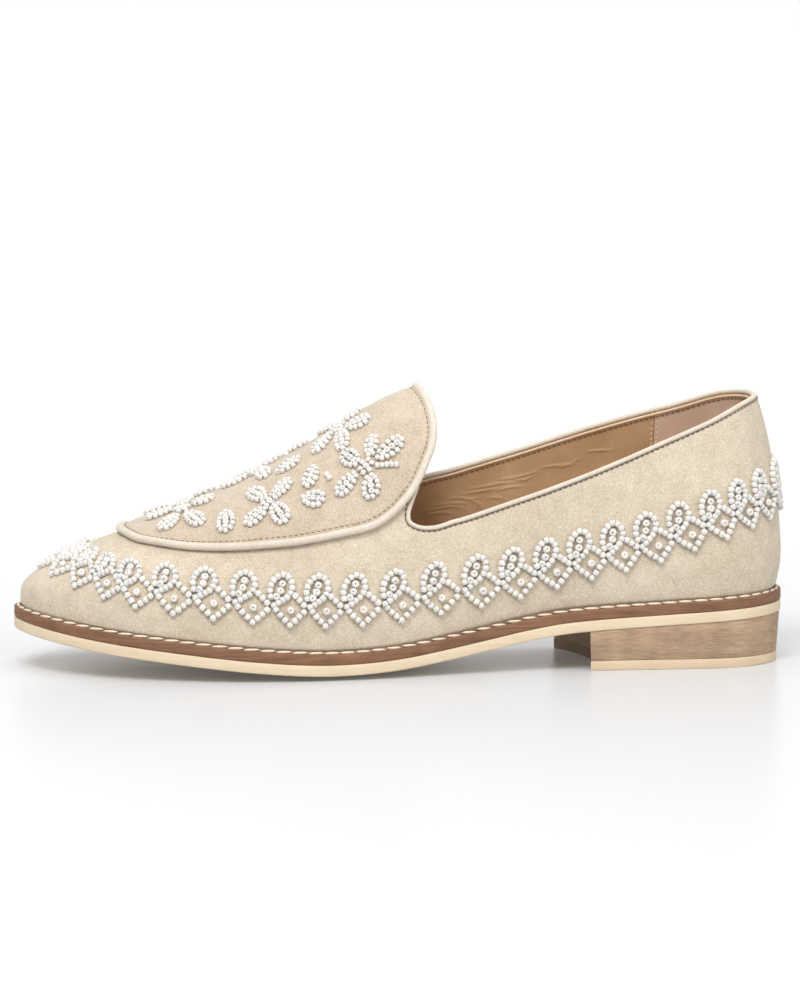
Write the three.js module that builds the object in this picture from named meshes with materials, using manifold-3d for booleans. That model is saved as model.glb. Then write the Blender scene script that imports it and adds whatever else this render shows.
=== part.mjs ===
// Beaded loafer for the left foot: welted sole, low stacked heel, slip-on upper with a raised apron.
// Millimetres. +X runs to the toe, +Y to the lateral (outer) side, +Z up from the floor.

import * as THREE from 'three';
import { mergeVertices } from 'three/addons/utils/BufferGeometryUtils.js';
import Module from 'manifold-3d';

const wasm = await Module();
wasm.setup();

// Driving sizes. A station is a distance along the sole from the back of the heel.
const LENGTH = 265;
const BACK_BEADS = 1; // the beadwork reaches this far behind the sole
const MIDDLE = (LENGTH - BACK_BEADS) / 2; // station over the origin
const HEEL_ROUND = 32; // length of the outline's rounded back
const BALL = 186; // widest station
const HEEL_POWER = 2.15; // squareness of the outline at the back
const TOE_POWER = 2; // squareness of the outline at the toe
const HEEL_FAN = 34; // ribs behind this station fan out from it
const TOE_FAN = 229; // ribs ahead of this station fan out from it
const GAP = 0.3; // clearance between neighbours
const OUTSOLE = 3.5;
const WELT = 3.7;
const SOLE = OUTSOLE + GAP + WELT;
const INSOLE = 3;
const TOP_PIECE = 3.4;
const HEEL_INSET = 0.4;
const HEEL_TAPER = 0.9;
const BREAST = 66.5; // deepest station of the heel's hollow front
const BREAST_RADIUS = 67.5;
const BREAST_SKEW = 6; // the hollow faces a little to the medial side
const WALL = 2; // upper, with its lining
const TUCK_HEIGHT = 15; // the wall draws in to the welt below this
const TONGUE_LAP = 0.5; // the upper runs on under the tongue's edge by this
const TOPLINE_REACH = 28; // half width at which the two sides' topline heights hold
const APRON_LIFT = 0.35;
const APRON = 1.6;
const PIPING_RADIUS = 1.25;
const PIPING_GAP = 0.45; // clearance between piping and apron
const BINDING_WIDTH = 2.1;
const BINDING_HEIGHT = 1.8;
const BEAD_LIFT = 0.45; // clearance under the beadwork
const BEAD = 1.7; // height of the beadwork off the suede
const BORDER_LIFT = 0.7;
const BORDER_HEIGHT = 17.6;
const BORDER_EVEN = 26; // units of the border on the medial side, evenly spaced
const SCALLOP = 7; // depth of the border's pointed lower edge
const LOOP_NOTCH = 5; // depth of the notches between the border's upper loops

const LATERAL = 1;
const MEDIAL = -1;

// Tables, one row for each section
const SOLE_WIDTH = table('x lateral medial', [
  [32, 30.5, 30.0],
  [62, 31.0, 29.0],
  [92, 32.5, 26.5],
  [118, 36.0, 27.5],
  [145, 41.5, 35.0],
  [168, 44.5, 42.0],
  [186, 45.0, 45.0],
]);

const AXIS = table('x y', [
  [0, 0],
  [120, 0],
  [186, 0],
  [229, -2.6],
  [265, -6],
]);

// Height of the outsole's lower edge, and how far its middle bulges below that
const SOLE_LINE = table('x edge crown', [
  [0, 17.4, 0],
  [20, 16.4, 0],
  [35, 15.6, 0],
  [50, 14.8, 0],
  [65, 14.0, 0],
  [80, 12.8, 0],
  [92, 10.9, 0.2],
  [105, 8.3, 0.8],
  [120, 5.4, 1.6],
  [135, 3.0, 2.4],
  [150, 1.8, 2.8],
  [165, 1.7, 2.8],
  [185, 3.1, 2.4],
  [210, 5.8, 1.6],
  [235, 8.7, 1.0],
  [250, 10.9, 0.6],
  [265, 13.5, 0.4],
]);

// The last: top of each rib, its squareness, how far its foot stands in from the sole's edge
// and how far the wall draws in at the welt
const LAST = table('x roof power inset tuck', [
  [0, 120, 2.1, -0.2, 2.3],
  [34, 118, 2.12, 0.3, 2.0],
  [60, 114, 2.15, 0.8, 2.0],
  [85, 108.5, 2.15, 1.2, 2.0],
  [105, 102.5, 2.15, 1.2, 2.0],
  [118, 97.5, 2.1, 1.2, 1.8],
  [127, 93.9, 2.05, 1.2, 1.6],
  [138, 89.4, 2.05, 1.2, 1.5],
  [152, 80.6, 2.1, 1.2, 1.5],
  [166, 71.6, 2.15, 1.2, 1.5],
  [180, 63.9, 2.2, 1.2, 1.4],
  [194, 56.8, 2.25, 1.2, 1.2],
  [208, 51.8, 2.3, 1.4, 1.0],
  [221, 48.3, 2.4, 1.6, 0.8],
  [235, 43.3, 2.6, 1.8, 0.5],
  [250, 37.0, 3.2, 2.0, 0.3],
  [265, 30.5, 5.0, 2.0, 0.2],
]);

// Cut edge of the collar on each side
const TOPLINE = table('x lateral medial', [
  [8, 90.1, 92.4],
  [17, 87.7, 90.8],
  [31, 81.5, 86.5],
  [46, 75.2, 83.1],
  [60, 69.4, 79.6],
  [74, 64.1, 75.9],
  [87, 59.7, 72.3],
  [101, 55.6, 68.3],
  [112, 52.5, 65],
  [118, 51.1, 63.4],
]);

// Rounded corner where the collar turns up into the tongue
const THROAT = table('lateralX lateralZ medialX medialZ', [
  [123.6, 49.7, 122.9, 62],
  [129.2, 49.8, 127.6, 61.9],
  [133.6, 51.9, 131.1, 63.1],
  [134.4, 55.4, 131.8, 65.2],
  [133, 59.4, 130.7, 68.1],
]);

// Rim of the apron from its nose to the middle of the tongue, as degrees up each rib
const APRON_RIM = table('x lateral medial', [
  [227.9, 90, 90],
  [226.3, 77, 77],
  [221.5, 62.5, 62.5],
  [208.8, 51, 51],
  [192.6, 43.3, 44],
  [176.5, 38, 39.6],
  [160.5, 35, 38.5],
  [148, 33.2, 38.5],
  [141, 34.2, 40],
  [136.5, 36.4, 42],
  [132.8, 39.2, 44.2],
  [130, 42.6, 46.8],
  [127.8, 46.4, 49.4],
  [125.9, 50.2, 52.4],
  [124.9, 55.5, 56.5],
  [125.1, 62, 62],
  [126.1, 70, 70],
  [127.4, 79, 79],
  [128.4, 90, 90],
]);
const TONGUE_ROW = 11; // from this row on the rim is the tongue's free edge
const APRON_CENTRE = { x: 165, angle: Math.PI / 2 };

// Beadwork: the border's lower edge as a distance up the wall from the welt
const BORDER = table('x low', [
  [0, 27.5],
  [8, 25.4],
  [25, 20.5],
  [48, 14.2],
  [72, 9.8],
  [96, 7.4],
  [125, 8.3],
  [186, 8.6],
  [225, 8.9],
  [246, 12.0],
  [265, 15.5],
]);

// Points of the border on the lateral side, as a distance along it from the toe
const BORDER_POINTS = [
  12.6, 22.9, 33.9, 45.7, 59, 72.5, 85.6, 98, 109.9, 122.5, 136,
  150, 164.2, 178, 191, 203.2, 215.2, 227.4, 239.6, 251.2, 261.5, 270.8,
];

// Flowers on the apron, and petals with the number of their flower; number 0 stands alone
const FLOWERS = table('x angle', [
  [147.2, 51.8],
  [179.2, 58],
  [206.8, 78.5],
  [181.5, 87],
  [154.3, 82],
  [147.2, 128.2],
  [179.2, 122],
]);
const FLOWER_MIDDLE = 8.4; // width of the beaded spot that joins a flower's petals

const PETALS = table('flower x angle length width turn', [
  [1, 152, 58.7, 10.5, 6.6, 55],
  [1, 145, 58.8, 9.2, 6, 98],
  [1, 139, 53.9, 11.6, 7.2, 166],
  [1, 140.3, 48.5, 9.6, 2.6, -158],
  [1, 146, 44, 9.8, 7.2, -96],
  [1, 153.9, 49, 10, 6.8, -28],
  [2, 182.7, 65.6, 11, 6.4, 58],
  [2, 174.9, 62.4, 9.4, 6.4, 144],
  [2, 184.1, 52.9, 9.6, 6.4, -20],
  [2, 176.4, 50, 11, 6.8, -114],
  [3, 212, 69, 11, 6.4, -46],
  [3, 203.7, 66.6, 11.6, 6.6, -114],
  [3, 199.6, 80, 9, 6, 171],
  [3, 214.4, 82.4, 11, 6.2, -2],
  [3, 205.6, 86.6, 10, 6.2, 100],
  [4, 188.4, 87.2, 11, 6.2, 14],
  [4, 179.6, 80.4, 10, 6.2, -98],
  [4, 175.4, 92, 10.4, 6.2, 145],
  [4, 184.4, 95.4, 10.4, 6.2, 64],
  [5, 160, 77.6, 11, 6.4, -34],
  [5, 154, 71.6, 12, 6.4, -90],
  [5, 148.4, 76, 11, 6.6, -164],
  [5, 149.2, 87.4, 9.6, 6, 160],
  [5, 157.2, 92.4, 10.4, 6.2, 66],
  [6, 152, 121.3, 10.5, 6.6, -55],
  [6, 145, 121.2, 9.2, 6, -98],
  [6, 139, 126.1, 11.6, 7.2, -166],
  [6, 146, 136, 9.8, 7.2, 96],
  [6, 153.9, 131, 10, 6.8, 28],
  [7, 182.7, 114.4, 11, 6.4, -58],
  [7, 174.9, 117.6, 9.4, 6.4, -144],
  [7, 184.1, 127.1, 9.6, 6.4, 20],
  [7, 176.4, 130, 11, 6.8, 114],
  [0, 193.8, 57.1, 11, 7, -86],
  [0, 165.3, 60.9, 9.6, 6.6, -68],
  [0, 165.1, 49.8, 10, 6.4, -148],
  [0, 171.7, 75.6, 10.2, 6.2, 166],
  [0, 167, 93, 8.5, 6, 175],
  [0, 193.8, 122.9, 11, 7, 86],
  [0, 165.3, 119.1, 9.6, 6.6, 68],
  [0, 165.1, 130.2, 10, 6.4, 148],
  [0, 214.8, 92.6, 9.6, 5.6, 12],
  [0, 198, 92.8, 8.4, 5.4, 170],
  [0, 159.7, 56.2, 4.4, 2.4, 66],
]);

// Colours
const SUEDE = { color: 0xd9c4a3, roughness: 0.95, metalness: 0 };
const PALE_SUEDE = { color: 0xe2d2b8, roughness: 0.8, metalness: 0 };
const NATURAL = { color: 0xe6cfa6, roughness: 0.7, metalness: 0 };
const BROWN = { color: 0x8a5638, roughness: 0.6, metalness: 0 };
const STACK = { color: 0xa28d74, roughness: 0.7, metalness: 0 };
const TAN = { color: 0xd3a77c, roughness: 0.6, metalness: 0 };
const PEARL = { color: 0xf1eee6, roughness: 0.3, metalness: 0 };

// Tables and curves

function table(columns, rows) {
  const names = columns.split(' ');
  return rows.map((row) => Object.fromEntries(names.map((name, i) => [name, row[i]])));
}

// A smooth curve through one column, held level past the table's ends
function along(rows, column, x) {
  const last = rows.length - 1;
  const at = THREE.MathUtils.clamp(x, rows[0].x, rows[last].x);
  const next = rows.findIndex((row, k) => k > 0 && (at < row.x || k === last));
  const slope = (k) => {
    const before = rows[Math.max(k - 1, 0)];
    const after = rows[Math.min(k + 1, last)];
    return (after[column] - before[column]) / (after.x - before.x);
  };
  const [from, to] = [rows[next - 1], rows[next]];
  const span = to.x - from.x;
  const t = (at - from.x) / span;
  const u = 1 - t;
  const heights = from[column] * u * u * (1 + 2 * t) + to[column] * t * t * (3 - 2 * t);
  return heights + span * t * u * (slope(next - 1) * u - slope(next) * t);
}

function spread(count, from, to) {
  return Array.from({ length: count + 1 }, (_, i) => from + ((to - from) * i) / count);
}

// Stations crowd together towards the rounded back and toe
function stations(heel, middle, toe) {
  const back = spread(heel, 0, Math.PI / 2).map((a) => HEEL_ROUND * (1 - Math.cos(a)));
  const waist = spread(middle, HEEL_ROUND, BALL).slice(1, -1);
  const front = spread(toe, 0, Math.PI / 2).map((a) => BALL + (LENGTH - BALL) * Math.sin(a));
  return [...back, ...waist, ...front];
}

// Outline of the sole

function halfWidth(x, side, inset) {
  const column = side === LATERAL ? 'lateral' : 'medial';
  const width = along(SOLE_WIDTH, column, x) - inset;
  const rounding = (t, power) => Math.max(0, 1 - Math.min(t, 1) ** power) ** (1 / power);
  if (x < HEEL_ROUND) return width * rounding((HEEL_ROUND - x) / (HEEL_ROUND - inset), HEEL_POWER);
  if (x > BALL) return width * rounding((x - BALL) / (LENGTH - inset - BALL), TOE_POWER);
  return width;
}

function soleEdge(x, side, inset) {
  const inside = THREE.MathUtils.lerp(inset, LENGTH - inset, x / LENGTH);
  const y = along(AXIS, 'y', inside) + side * halfWidth(inside, side, inset);
  return new THREE.Vector2(inside, y);
}

function soleHeight(x) {
  return along(SOLE_LINE, 'edge', x);
}

// The last: a point on the rib that stands at a station, an angle up from the welt,
// and a depth in from the outer face of the upper
function rib(x, side, angle, depth = 0) {
  const foot = soleEdge(x, side, along(LAST, 'inset', x) + depth);
  const centre = THREE.MathUtils.clamp(foot.x, HEEL_FAN, TOE_FAN);
  const plan = new THREE.Vector2(centre, along(AXIS, 'y', centre));
  const reach = foot.clone().sub(plan);
  const power = 2 / along(LAST, 'power', x);
  plan.addScaledVector(reach, Math.abs(Math.cos(angle)) ** power);
  const welt = soleHeight(foot.x) + SOLE + GAP;
  const rise = (along(LAST, 'roof', plan.x) - depth - welt) * Math.sin(angle) ** power;
  const tuck = along(LAST, 'tuck', x) * Math.max(0, 1 - rise / TUCK_HEIGHT) ** 2;
  plan.addScaledVector(reach.normalize(), -tuck);
  return new THREE.Vector3(plan.x, plan.y, welt + rise);
}

// The same over both sides: angles run from 0 at the lateral welt to half a turn at the medial one
function skin(x, angle, depth = 0) {
  return angle <= Math.PI / 2 ? rib(x, LATERAL, angle, depth) : rib(x, MEDIAL, Math.PI - angle, depth);
}

// Solids from rings

function closedGeometry(positions, triangles) {
  const loose = new THREE.BufferGeometry();
  loose.setAttribute('position', new THREE.Float32BufferAttribute(positions, 3));
  loose.setIndex(triangles);
  const merged = mergeVertices(loose, 1e-4);
  const index = merged.getIndex().array;
  const kept = [];
  for (let i = 0; i < index.length; i += 3) {
    const [a, b, c] = index.slice(i, i + 3);
    if (a !== b && b !== c && c !== a) kept.push(a, b, c);
  }
  const points = merged.getAttribute('position');
  const corner = (i) => new THREE.Vector3().fromBufferAttribute(points, kept[i]);
  let volume = 0;
  for (let i = 0; i < kept.length; i += 3) {
    volume += corner(i).dot(corner(i + 1).cross(corner(i + 2)));
  }
  merged.setIndex(volume < 0 ? kept.reverse() : kept);
  return merged;
}

// Rings of equal size joined one to the next; a ring shrunk to a point closes an end.
// From the place called turn the faces are split the other way, so that nested walls match.
function loft(rings, turn = rings[0].length) {
  const size = rings[0].length;
  const triangles = [];
  for (let i = 0; i + 1 < rings.length; i += 1) {
    for (let j = 0; j < size; j += 1) {
      const k = (j + 1) % size;
      const [a, b] = [i * size + j, i * size + k];
      const [c, d] = [b + size, a + size];
      triangles.push(...(j < turn ? [a, b, c, a, c, d] : [a, b, d, b, c, d]));
    }
  }
  return closedGeometry(rings.flat().flatMap((point) => point.toArray()), triangles);
}

function pointRing(ring) {
  const middle = ring.reduce((sum, point) => sum.add(point), new THREE.Vector3()).divideScalar(ring.length);
  return ring.map(() => middle.clone());
}

function capped(rings) {
  return loft([pointRing(rings[0]), ...rings, pointRing(rings[rings.length - 1])]);
}

function toSolid(geometry) {
  const vertProperties = Float32Array.from(geometry.getAttribute('position').array);
  const triVerts = Uint32Array.from(geometry.getIndex().array);
  return new wasm.Manifold(new wasm.Mesh({ numProp: 3, vertProperties, triVerts }));
}

function fromSolid(solid) {
  const { vertProperties, triVerts } = solid.getMesh();
  const geometry = new THREE.BufferGeometry();
  geometry.setAttribute('position', new THREE.Float32BufferAttribute(vertProperties, 3));
  geometry.setIndex(Array.from(triVerts));
  return geometry;
}

// Sole layers

const SECTIONS = stations(8, 14, 10);
const EDGES = [0, 1];
const ACROSS_TREAD = [0, 0.12, 0.3, 0.5, 0.7, 0.88, 1];

// One face of a sole layer, as a row of points across the sole at each section
function face(places, edge, height, across = EDGES) {
  return places.map((x) => {
    const [from, to] = [edge(x, LATERAL), edge(x, MEDIAL)];
    return across.map((t) => {
      const point = from.clone().lerp(to, t);
      return new THREE.Vector3(point.x, point.y, height(point.x, t));
    });
  });
}

function layer(lowerFace, upperFace) {
  return lowerFace.map((row, i) => [...row, ...upperFace[i].toReversed()]);
}

function soleRim(x, side) {
  return soleEdge(x, side, 0);
}

function outsoleGeometry() {
  const tread = (x, t) => {
    const bulge = along(SOLE_LINE, 'crown', x) * (1 - (2 * t - 1) ** 2);
    return Math.max(0, soleHeight(x) - bulge);
  };
  const lower = face(SECTIONS, soleRim, tread, ACROSS_TREAD);
  return loft(layer(lower, face(SECTIONS, soleRim, (x) => soleHeight(x) + OUTSOLE)));
}

function weltGeometry() {
  const bottom = (x) => soleHeight(x) + OUTSOLE + GAP;
  const lower = face(SECTIONS, soleRim, bottom);
  return loft(layer(lower, face(SECTIONS, soleRim, (x) => bottom(x) + WELT)));
}

function insoleGeometry() {
  const rim = (x, side) => {
    const foot = rib(x, side, 0, WALL + GAP);
    return new THREE.Vector2(foot.x, foot.y);
  };
  const bottom = (x) => soleHeight(x) + SOLE + GAP;
  return loft(layer(face(SECTIONS, rim, bottom), face(SECTIONS, rim, (x) => bottom(x) + INSOLE)));
}

// Heel layers share one outline, tapered to the floor and hollowed at the front
function heelLayer(lowerHeight, upperHeight, lowerInset, upperInset) {
  const places = SECTIONS.filter((x) => x < BREAST + 24);
  const lower = face(places, (x, side) => soleEdge(x, side, lowerInset), lowerHeight);
  const upper = face(places, (x, side) => soleEdge(x, side, upperInset), upperHeight);
  const rings = layer(lower, upper);
  const block = loft([...rings, pointRing(rings[rings.length - 1])]);
  const hollow = new THREE.CylinderGeometry(BREAST_RADIUS, BREAST_RADIUS, 80, 72);
  hollow.rotateX(Math.PI / 2);
  hollow.translate(BREAST + BREAST_RADIUS, BREAST_SKEW, 0);
  hollow.deleteAttribute('normal');
  hollow.deleteAttribute('uv');
  return fromSolid(toSolid(block).subtract(toSolid(mergeVertices(hollow, 1e-4))));
}

function heelStackGeometry() {
  const bottom = TOP_PIECE + GAP;
  return heelLayer(() => bottom, (x) => soleHeight(x) - GAP, HEEL_INSET + HEEL_TAPER, HEEL_INSET);
}

function topPieceGeometry() {
  const inset = HEEL_INSET + HEEL_TAPER;
  return heelLayer(() => 0, () => TOP_PIECE, inset, inset);
}

// Upper: the wall between two depths, open along the welt

const RIB_ANGLES = spread(18, 0, Math.PI);

function shell(outerDepth, innerDepth) {
  const rings = SECTIONS.map((x) => [
    ...RIB_ANGLES.map((angle) => skin(x, angle, outerDepth)),
    ...RIB_ANGLES.map((angle) => skin(x, Math.PI - angle, innerDepth)),
  ]);
  return loft(rings, RIB_ANGLES.length);
}

// Side view of the opening: along the collar, round the throat and up the tongue's free edge
function openingOutline(side) {
  const column = side === LATERAL ? 'lateral' : 'medial';
  const collar = spread(22, -30, 118).map((x) => new THREE.Vector2(x, along(TOPLINE, column, x)));
  const tongue = APRON_RIM.slice(TONGUE_ROW).map((row) => {
    const point = rib(row.x, side, THREE.MathUtils.degToRad(row[column]));
    return new THREE.Vector2(point.x - TONGUE_LAP, point.z);
  });
  const throat = THROAT.map((row) => new THREE.Vector2(row[`${column}X`], row[`${column}Z`]));
  const turn = new THREE.SplineCurve([collar[collar.length - 1], ...throat, ...tongue]);
  const top = tongue[tongue.length - 1];
  const sky = [[top.x + 2, top.y + 6], [top.x + 2, 170], [-30, 170]].map(([x, z]) => new THREE.Vector2(x, z));
  return [...collar.slice(0, -1), ...turn.getPoints(36), ...sky];
}

// A prism ruled between the two sides' outlines
function openingGeometry() {
  const [lateral, medial] = [openingOutline(LATERAL), openingOutline(MEDIAL)];
  const reach = 1.75;
  const ring = (side) => lateral.map((point, i) => {
    const t = (1 - side * reach) / 2;
    const place = point.clone().lerp(medial[i], t);
    return new THREE.Vector3(place.x, side * reach * TOPLINE_REACH, place.y);
  });
  const [near, far] = [ring(LATERAL), ring(MEDIAL)];
  const size = near.length;
  const triangles = [];
  for (const [offset, points, flip] of [[0, near, false], [size, far, true]]) {
    const flat = points.map((point) => new THREE.Vector2(point.x, point.z));
    for (const face of THREE.ShapeUtils.triangulateShape(flat, [])) {
      const corners = face.map((k) => k + offset);
      triangles.push(...(flip ? corners.reverse() : corners));
    }
  }
  for (let i = 0; i < size; i += 1) {
    const k = (i + 1) % size;
    triangles.push(k, i, size + i, k, size + i, size + k);
  }
  return closedGeometry([...near, ...far].flatMap((point) => point.toArray()), triangles);
}

function upperGeometry() {
  return fromSolid(toSolid(shell(0, WALL)).subtract(toSolid(openingGeometry())));
}

// Apron: a shell over the upper, kept inside its rim

function apronRim(steps) {
  const places = (column) => new THREE.SplineCurve(
    APRON_RIM.map((row) => new THREE.Vector2(row.x, THREE.MathUtils.degToRad(row[column]))),
  ).getPoints(steps);
  const lateral = places('lateral');
  const medial = places('medial').map((place) => new THREE.Vector2(place.x, Math.PI - place.y));
  return [...lateral, ...medial.reverse().slice(1, -1)];
}

function apronRegion() {
  const rim = apronRim(40);
  const centre = new THREE.Vector2(APRON_CENTRE.x, APRON_CENTRE.angle);
  const ring = (t, depth) => rim.map((place) => {
    const inner = centre.clone().lerp(place, t);
    return skin(inner.x, inner.y, depth);
  });
  const shares = [0, 0.35, 0.7, 1];
  const above = shares.map((t) => ring(t, -6));
  const below = shares.map((t) => ring(t, 4));
  return loft([...below, ...above.reverse()]);
}

function apronGeometry() {
  const skinOver = shell(-APRON_LIFT - APRON, -APRON_LIFT);
  return fromSolid(toSolid(skinOver).intersect(toSolid(apronRegion())));
}

// Tubes: an oval section carried along a path, with its width in the surface and its height off it

function normalAt(x, angle) {
  const step = 0.01;
  const run = skin(x + step, angle).sub(skin(x - step, angle));
  const climb = skin(x, angle + step).sub(skin(x, angle - step));
  return run.cross(climb).normalize();
}

function ovalRing(centre, across, up, width, height, sides) {
  return spread(sides, 0, 2 * Math.PI).slice(0, sides).map((turn) => centre.clone()
    .addScaledVector(across, (Math.cos(turn) * width) / 2)
    .addScaledVector(up, (Math.sin(turn) * height) / 2));
}

function pipingGeometry() {
  const rim = apronRim(34);
  const size = rim.length;
  const lift = APRON_LIFT + PIPING_RADIUS;
  const points = rim.map((place) => skin(place.x, place.y, -lift));
  const rings = rim.map((place, i) => {
    const run = points[(i + 1) % size].clone().sub(points[(i + size - 1) % size]).normalize();
    const normal = normalAt(THREE.MathUtils.clamp(place.x, HEEL_FAN, TOE_FAN - 1), place.y);
    const outward = run.clone().cross(normal).normalize();
    const away = points[i].clone().sub(skin(APRON_CENTRE.x, APRON_CENTRE.angle));
    if (outward.dot(away) < 0) outward.negate();
    const centre = points[i].clone().addScaledVector(outward, PIPING_RADIUS + PIPING_GAP);
    return ovalRing(centre, outward, normal, 2 * PIPING_RADIUS, 2 * PIPING_RADIUS, 7);
  });
  return loft([...rings, rings[0]]);
}

// Binding: stands on the collar's cut edge, from one throat corner round the heel to the other

function collarHeight(point) {
  const t = (1 - point.y / TOPLINE_REACH) / 2;
  const [lateral, medial] = ['lateral', 'medial'].map((column) => along(TOPLINE, column, point.x));
  return lateral + (medial - lateral) * t;
}

// The point halfway through the wall where a rib reaches a wanted height
function wallAtHeight(x, side, height) {
  let [low, high] = [0, Math.PI / 2];
  for (let i = 0; i < 40; i += 1) {
    const middle = (low + high) / 2;
    const point = rib(x, side, middle, WALL / 2);
    if (point.z < height(point)) low = middle;
    else high = middle;
  }
  return rib(x, side, low, WALL / 2);
}

function bindingSide(side) {
  const corner = THROAT.slice(0, 3).map((row) => {
    const lateral = new THREE.Vector2(row.lateralX, row.lateralZ);
    const medial = new THREE.Vector2(row.medialX, row.medialZ);
    const own = side === LATERAL ? lateral : medial;
    const wall = wallAtHeight(own.x, side, () => own.y);
    const ruled = lateral.clone().lerp(medial, (1 - wall.y / TOPLINE_REACH) / 2);
    return wallAtHeight(ruled.x, side, () => ruled.y);
  });
  const waist = spread(11, 116, HEEL_FAN);
  const heel = spread(8, Math.PI / 2, 0).map((a) => HEEL_FAN * (1 - Math.cos(a)));
  const collar = [...waist, ...heel.slice(1)].map((x) => wallAtHeight(x, side, collarHeight));
  return [...corner.reverse(), ...collar];
}

function bindingGeometry() {
  const edge = [...bindingSide(LATERAL), ...bindingSide(MEDIAL).reverse().slice(1)];
  const last = edge.length - 1;
  const lift = GAP + BINDING_HEIGHT / 2;
  const rings = edge.map((point, i) => {
    const run = edge[Math.min(i + 1, last)].clone().sub(edge[Math.max(i - 1, 0)]).normalize();
    const across = new THREE.Vector3(-run.y, run.x, 0).normalize();
    const up = run.clone().cross(across).normalize();
    if (up.z < 0) up.negate();
    const centre = point.clone().addScaledVector(up, lift);
    return ovalRing(centre, across, up, BINDING_WIDTH, BINDING_HEIGHT, 8);
  });
  return capped(rings);
}

// Beadwork: a border round the whole upper, flowers and single petals on the apron

// The angle up a rib at a distance along it from the welt
function angleAt(x, side, distance) {
  const steps = 90;
  let travelled = 0;
  let from = rib(x, side, 0);
  for (let i = 1; i <= steps; i += 1) {
    const to = rib(x, side, (i / steps) * (Math.PI / 2));
    const stride = from.distanceTo(to);
    if (travelled + stride > distance) {
      return ((i - 1 + (distance - travelled) / stride) / steps) * (Math.PI / 2);
    }
    travelled += stride;
    from = to;
  }
  return Math.PI / 2;
}

// The border's middle line, once round the shoe from the toe
function borderPath() {
  const rows = [
    ...stations(24, 60, 40).reverse().map((x) => ({ x, side: LATERAL })),
    ...stations(24, 60, 40).slice(1).map((x) => ({ x, side: MEDIAL })),
  ].map((row) => {
    const middle = along(BORDER, 'low', row.x) + BORDER_HEIGHT / 2;
    return { ...row, point: rib(row.x, row.side, angleAt(row.x, row.side, middle)), travel: 0 };
  });
  for (let i = 1; i < rows.length; i += 1) {
    rows[i].travel = rows[i - 1].travel + rows[i].point.distanceTo(rows[i - 1].point);
  }
  return rows;
}

// Distances along the border: in each unit its first notch, its point and the places halfway
function borderTravels(total) {
  const start = BORDER_POINTS[BORDER_POINTS.length - 1];
  const rest = spread(BORDER_EVEN + 1, start, total + BORDER_POINTS[0]).slice(1, -1);
  const points = [...BORDER_POINTS, ...rest];
  const size = points.length;
  return points.flatMap((point, i) => {
    const before = i === 0 ? points[size - 1] - total : points[i - 1];
    const after = i === size - 1 ? points[0] + total : points[i + 1];
    const [notch, next] = [(before + point) / 2, (point + after) / 2];
    return [notch, (notch + point) / 2, point, (point + next) / 2];
  });
}

function borderPlace(path, travel) {
  const total = path[path.length - 1].travel;
  const inside = (travel + total) % total;
  const next = Math.max(1, path.findIndex((row) => row.travel >= inside));
  const [before, after] = [path[next - 1], path[next]];
  const t = (inside - before.travel) / (after.travel - before.travel);
  return { x: THREE.MathUtils.lerp(before.x, after.x, t), side: after.side };
}

function borderGeometry() {
  const path = borderPath();
  const rings = borderTravels(path[path.length - 1].travel).map((travel, i) => {
    const { x, side } = borderPlace(path, travel);
    const valley = Math.abs(2 * ((i % 4) / 4) - 1);
    const low = along(BORDER, 'low', x) + SCALLOP * valley;
    const high = along(BORDER, 'low', x) + BORDER_HEIGHT - LOOP_NOTCH * valley ** 2;
    const place = (share, lift) => rib(x, side, angleAt(x, side, low + (high - low) * share), -lift);
    return [
      place(0, BORDER_LIFT),
      place(0.13, BORDER_LIFT + BEAD),
      place(0.87, BORDER_LIFT + BEAD),
      place(1, BORDER_LIFT),
      place(0.67, BORDER_LIFT),
      place(0.33, BORDER_LIFT),
    ];
  });
  return loft([...rings, rings[0]]);
}

// A low oval mound on the apron, its length at a bearing from the shoe's length
function petalGeometry({ x, angle, length, width, turn }, height = BEAD) {
  const [degrees, step, bearings] = [THREE.MathUtils.degToRad, 0.01, 8];
  const [rise, bearing] = [degrees(angle), degrees(turn)];
  const run = skin(x + step, rise).distanceTo(skin(x - step, rise)) / (2 * step);
  const climb = skin(x, rise + step).distanceTo(skin(x, rise - step)) / (2 * step);
  const floor = APRON_LIFT + APRON + BEAD_LIFT;
  const ring = (share, lift) => spread(bearings, 0, 2 * Math.PI).slice(0, bearings).map((a) => {
    const oval = new THREE.Vector2((Math.cos(a) * length) / 2, (Math.sin(a) * width) / 2);
    oval.multiplyScalar(share).rotateAround(new THREE.Vector2(), bearing);
    return skin(x + oval.x / run, rise + oval.y / climb, -floor - lift);
  });
  return loft([ring(0, 0), ring(1, 0), ring(0.85, height), ring(0, height)]);
}

// Petals of one flower, joined by a higher spot in their middle
function flowerGeometry(number) {
  const { x, angle } = FLOWERS[number - 1];
  const spot = { x, angle, length: FLOWER_MIDDLE, width: FLOWER_MIDDLE, turn: 0 };
  const petals = PETALS.filter((row) => row.flower === number).map((row) => petalGeometry(row));
  const pieces = [petalGeometry(spot, BEAD + 0.2), ...petals].map(toSolid);
  return fromSolid(wasm.Manifold.union(pieces).simplify(0.05));
}

// Assembly

const loafer = new THREE.Group();
loafer.position.x = -MIDDLE;

function addPiece(name, geometry, finish) {
  const piece = new THREE.Mesh(geometry, new THREE.MeshStandardMaterial(finish));
  piece.name = name;
  loafer.add(piece);
}

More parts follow.
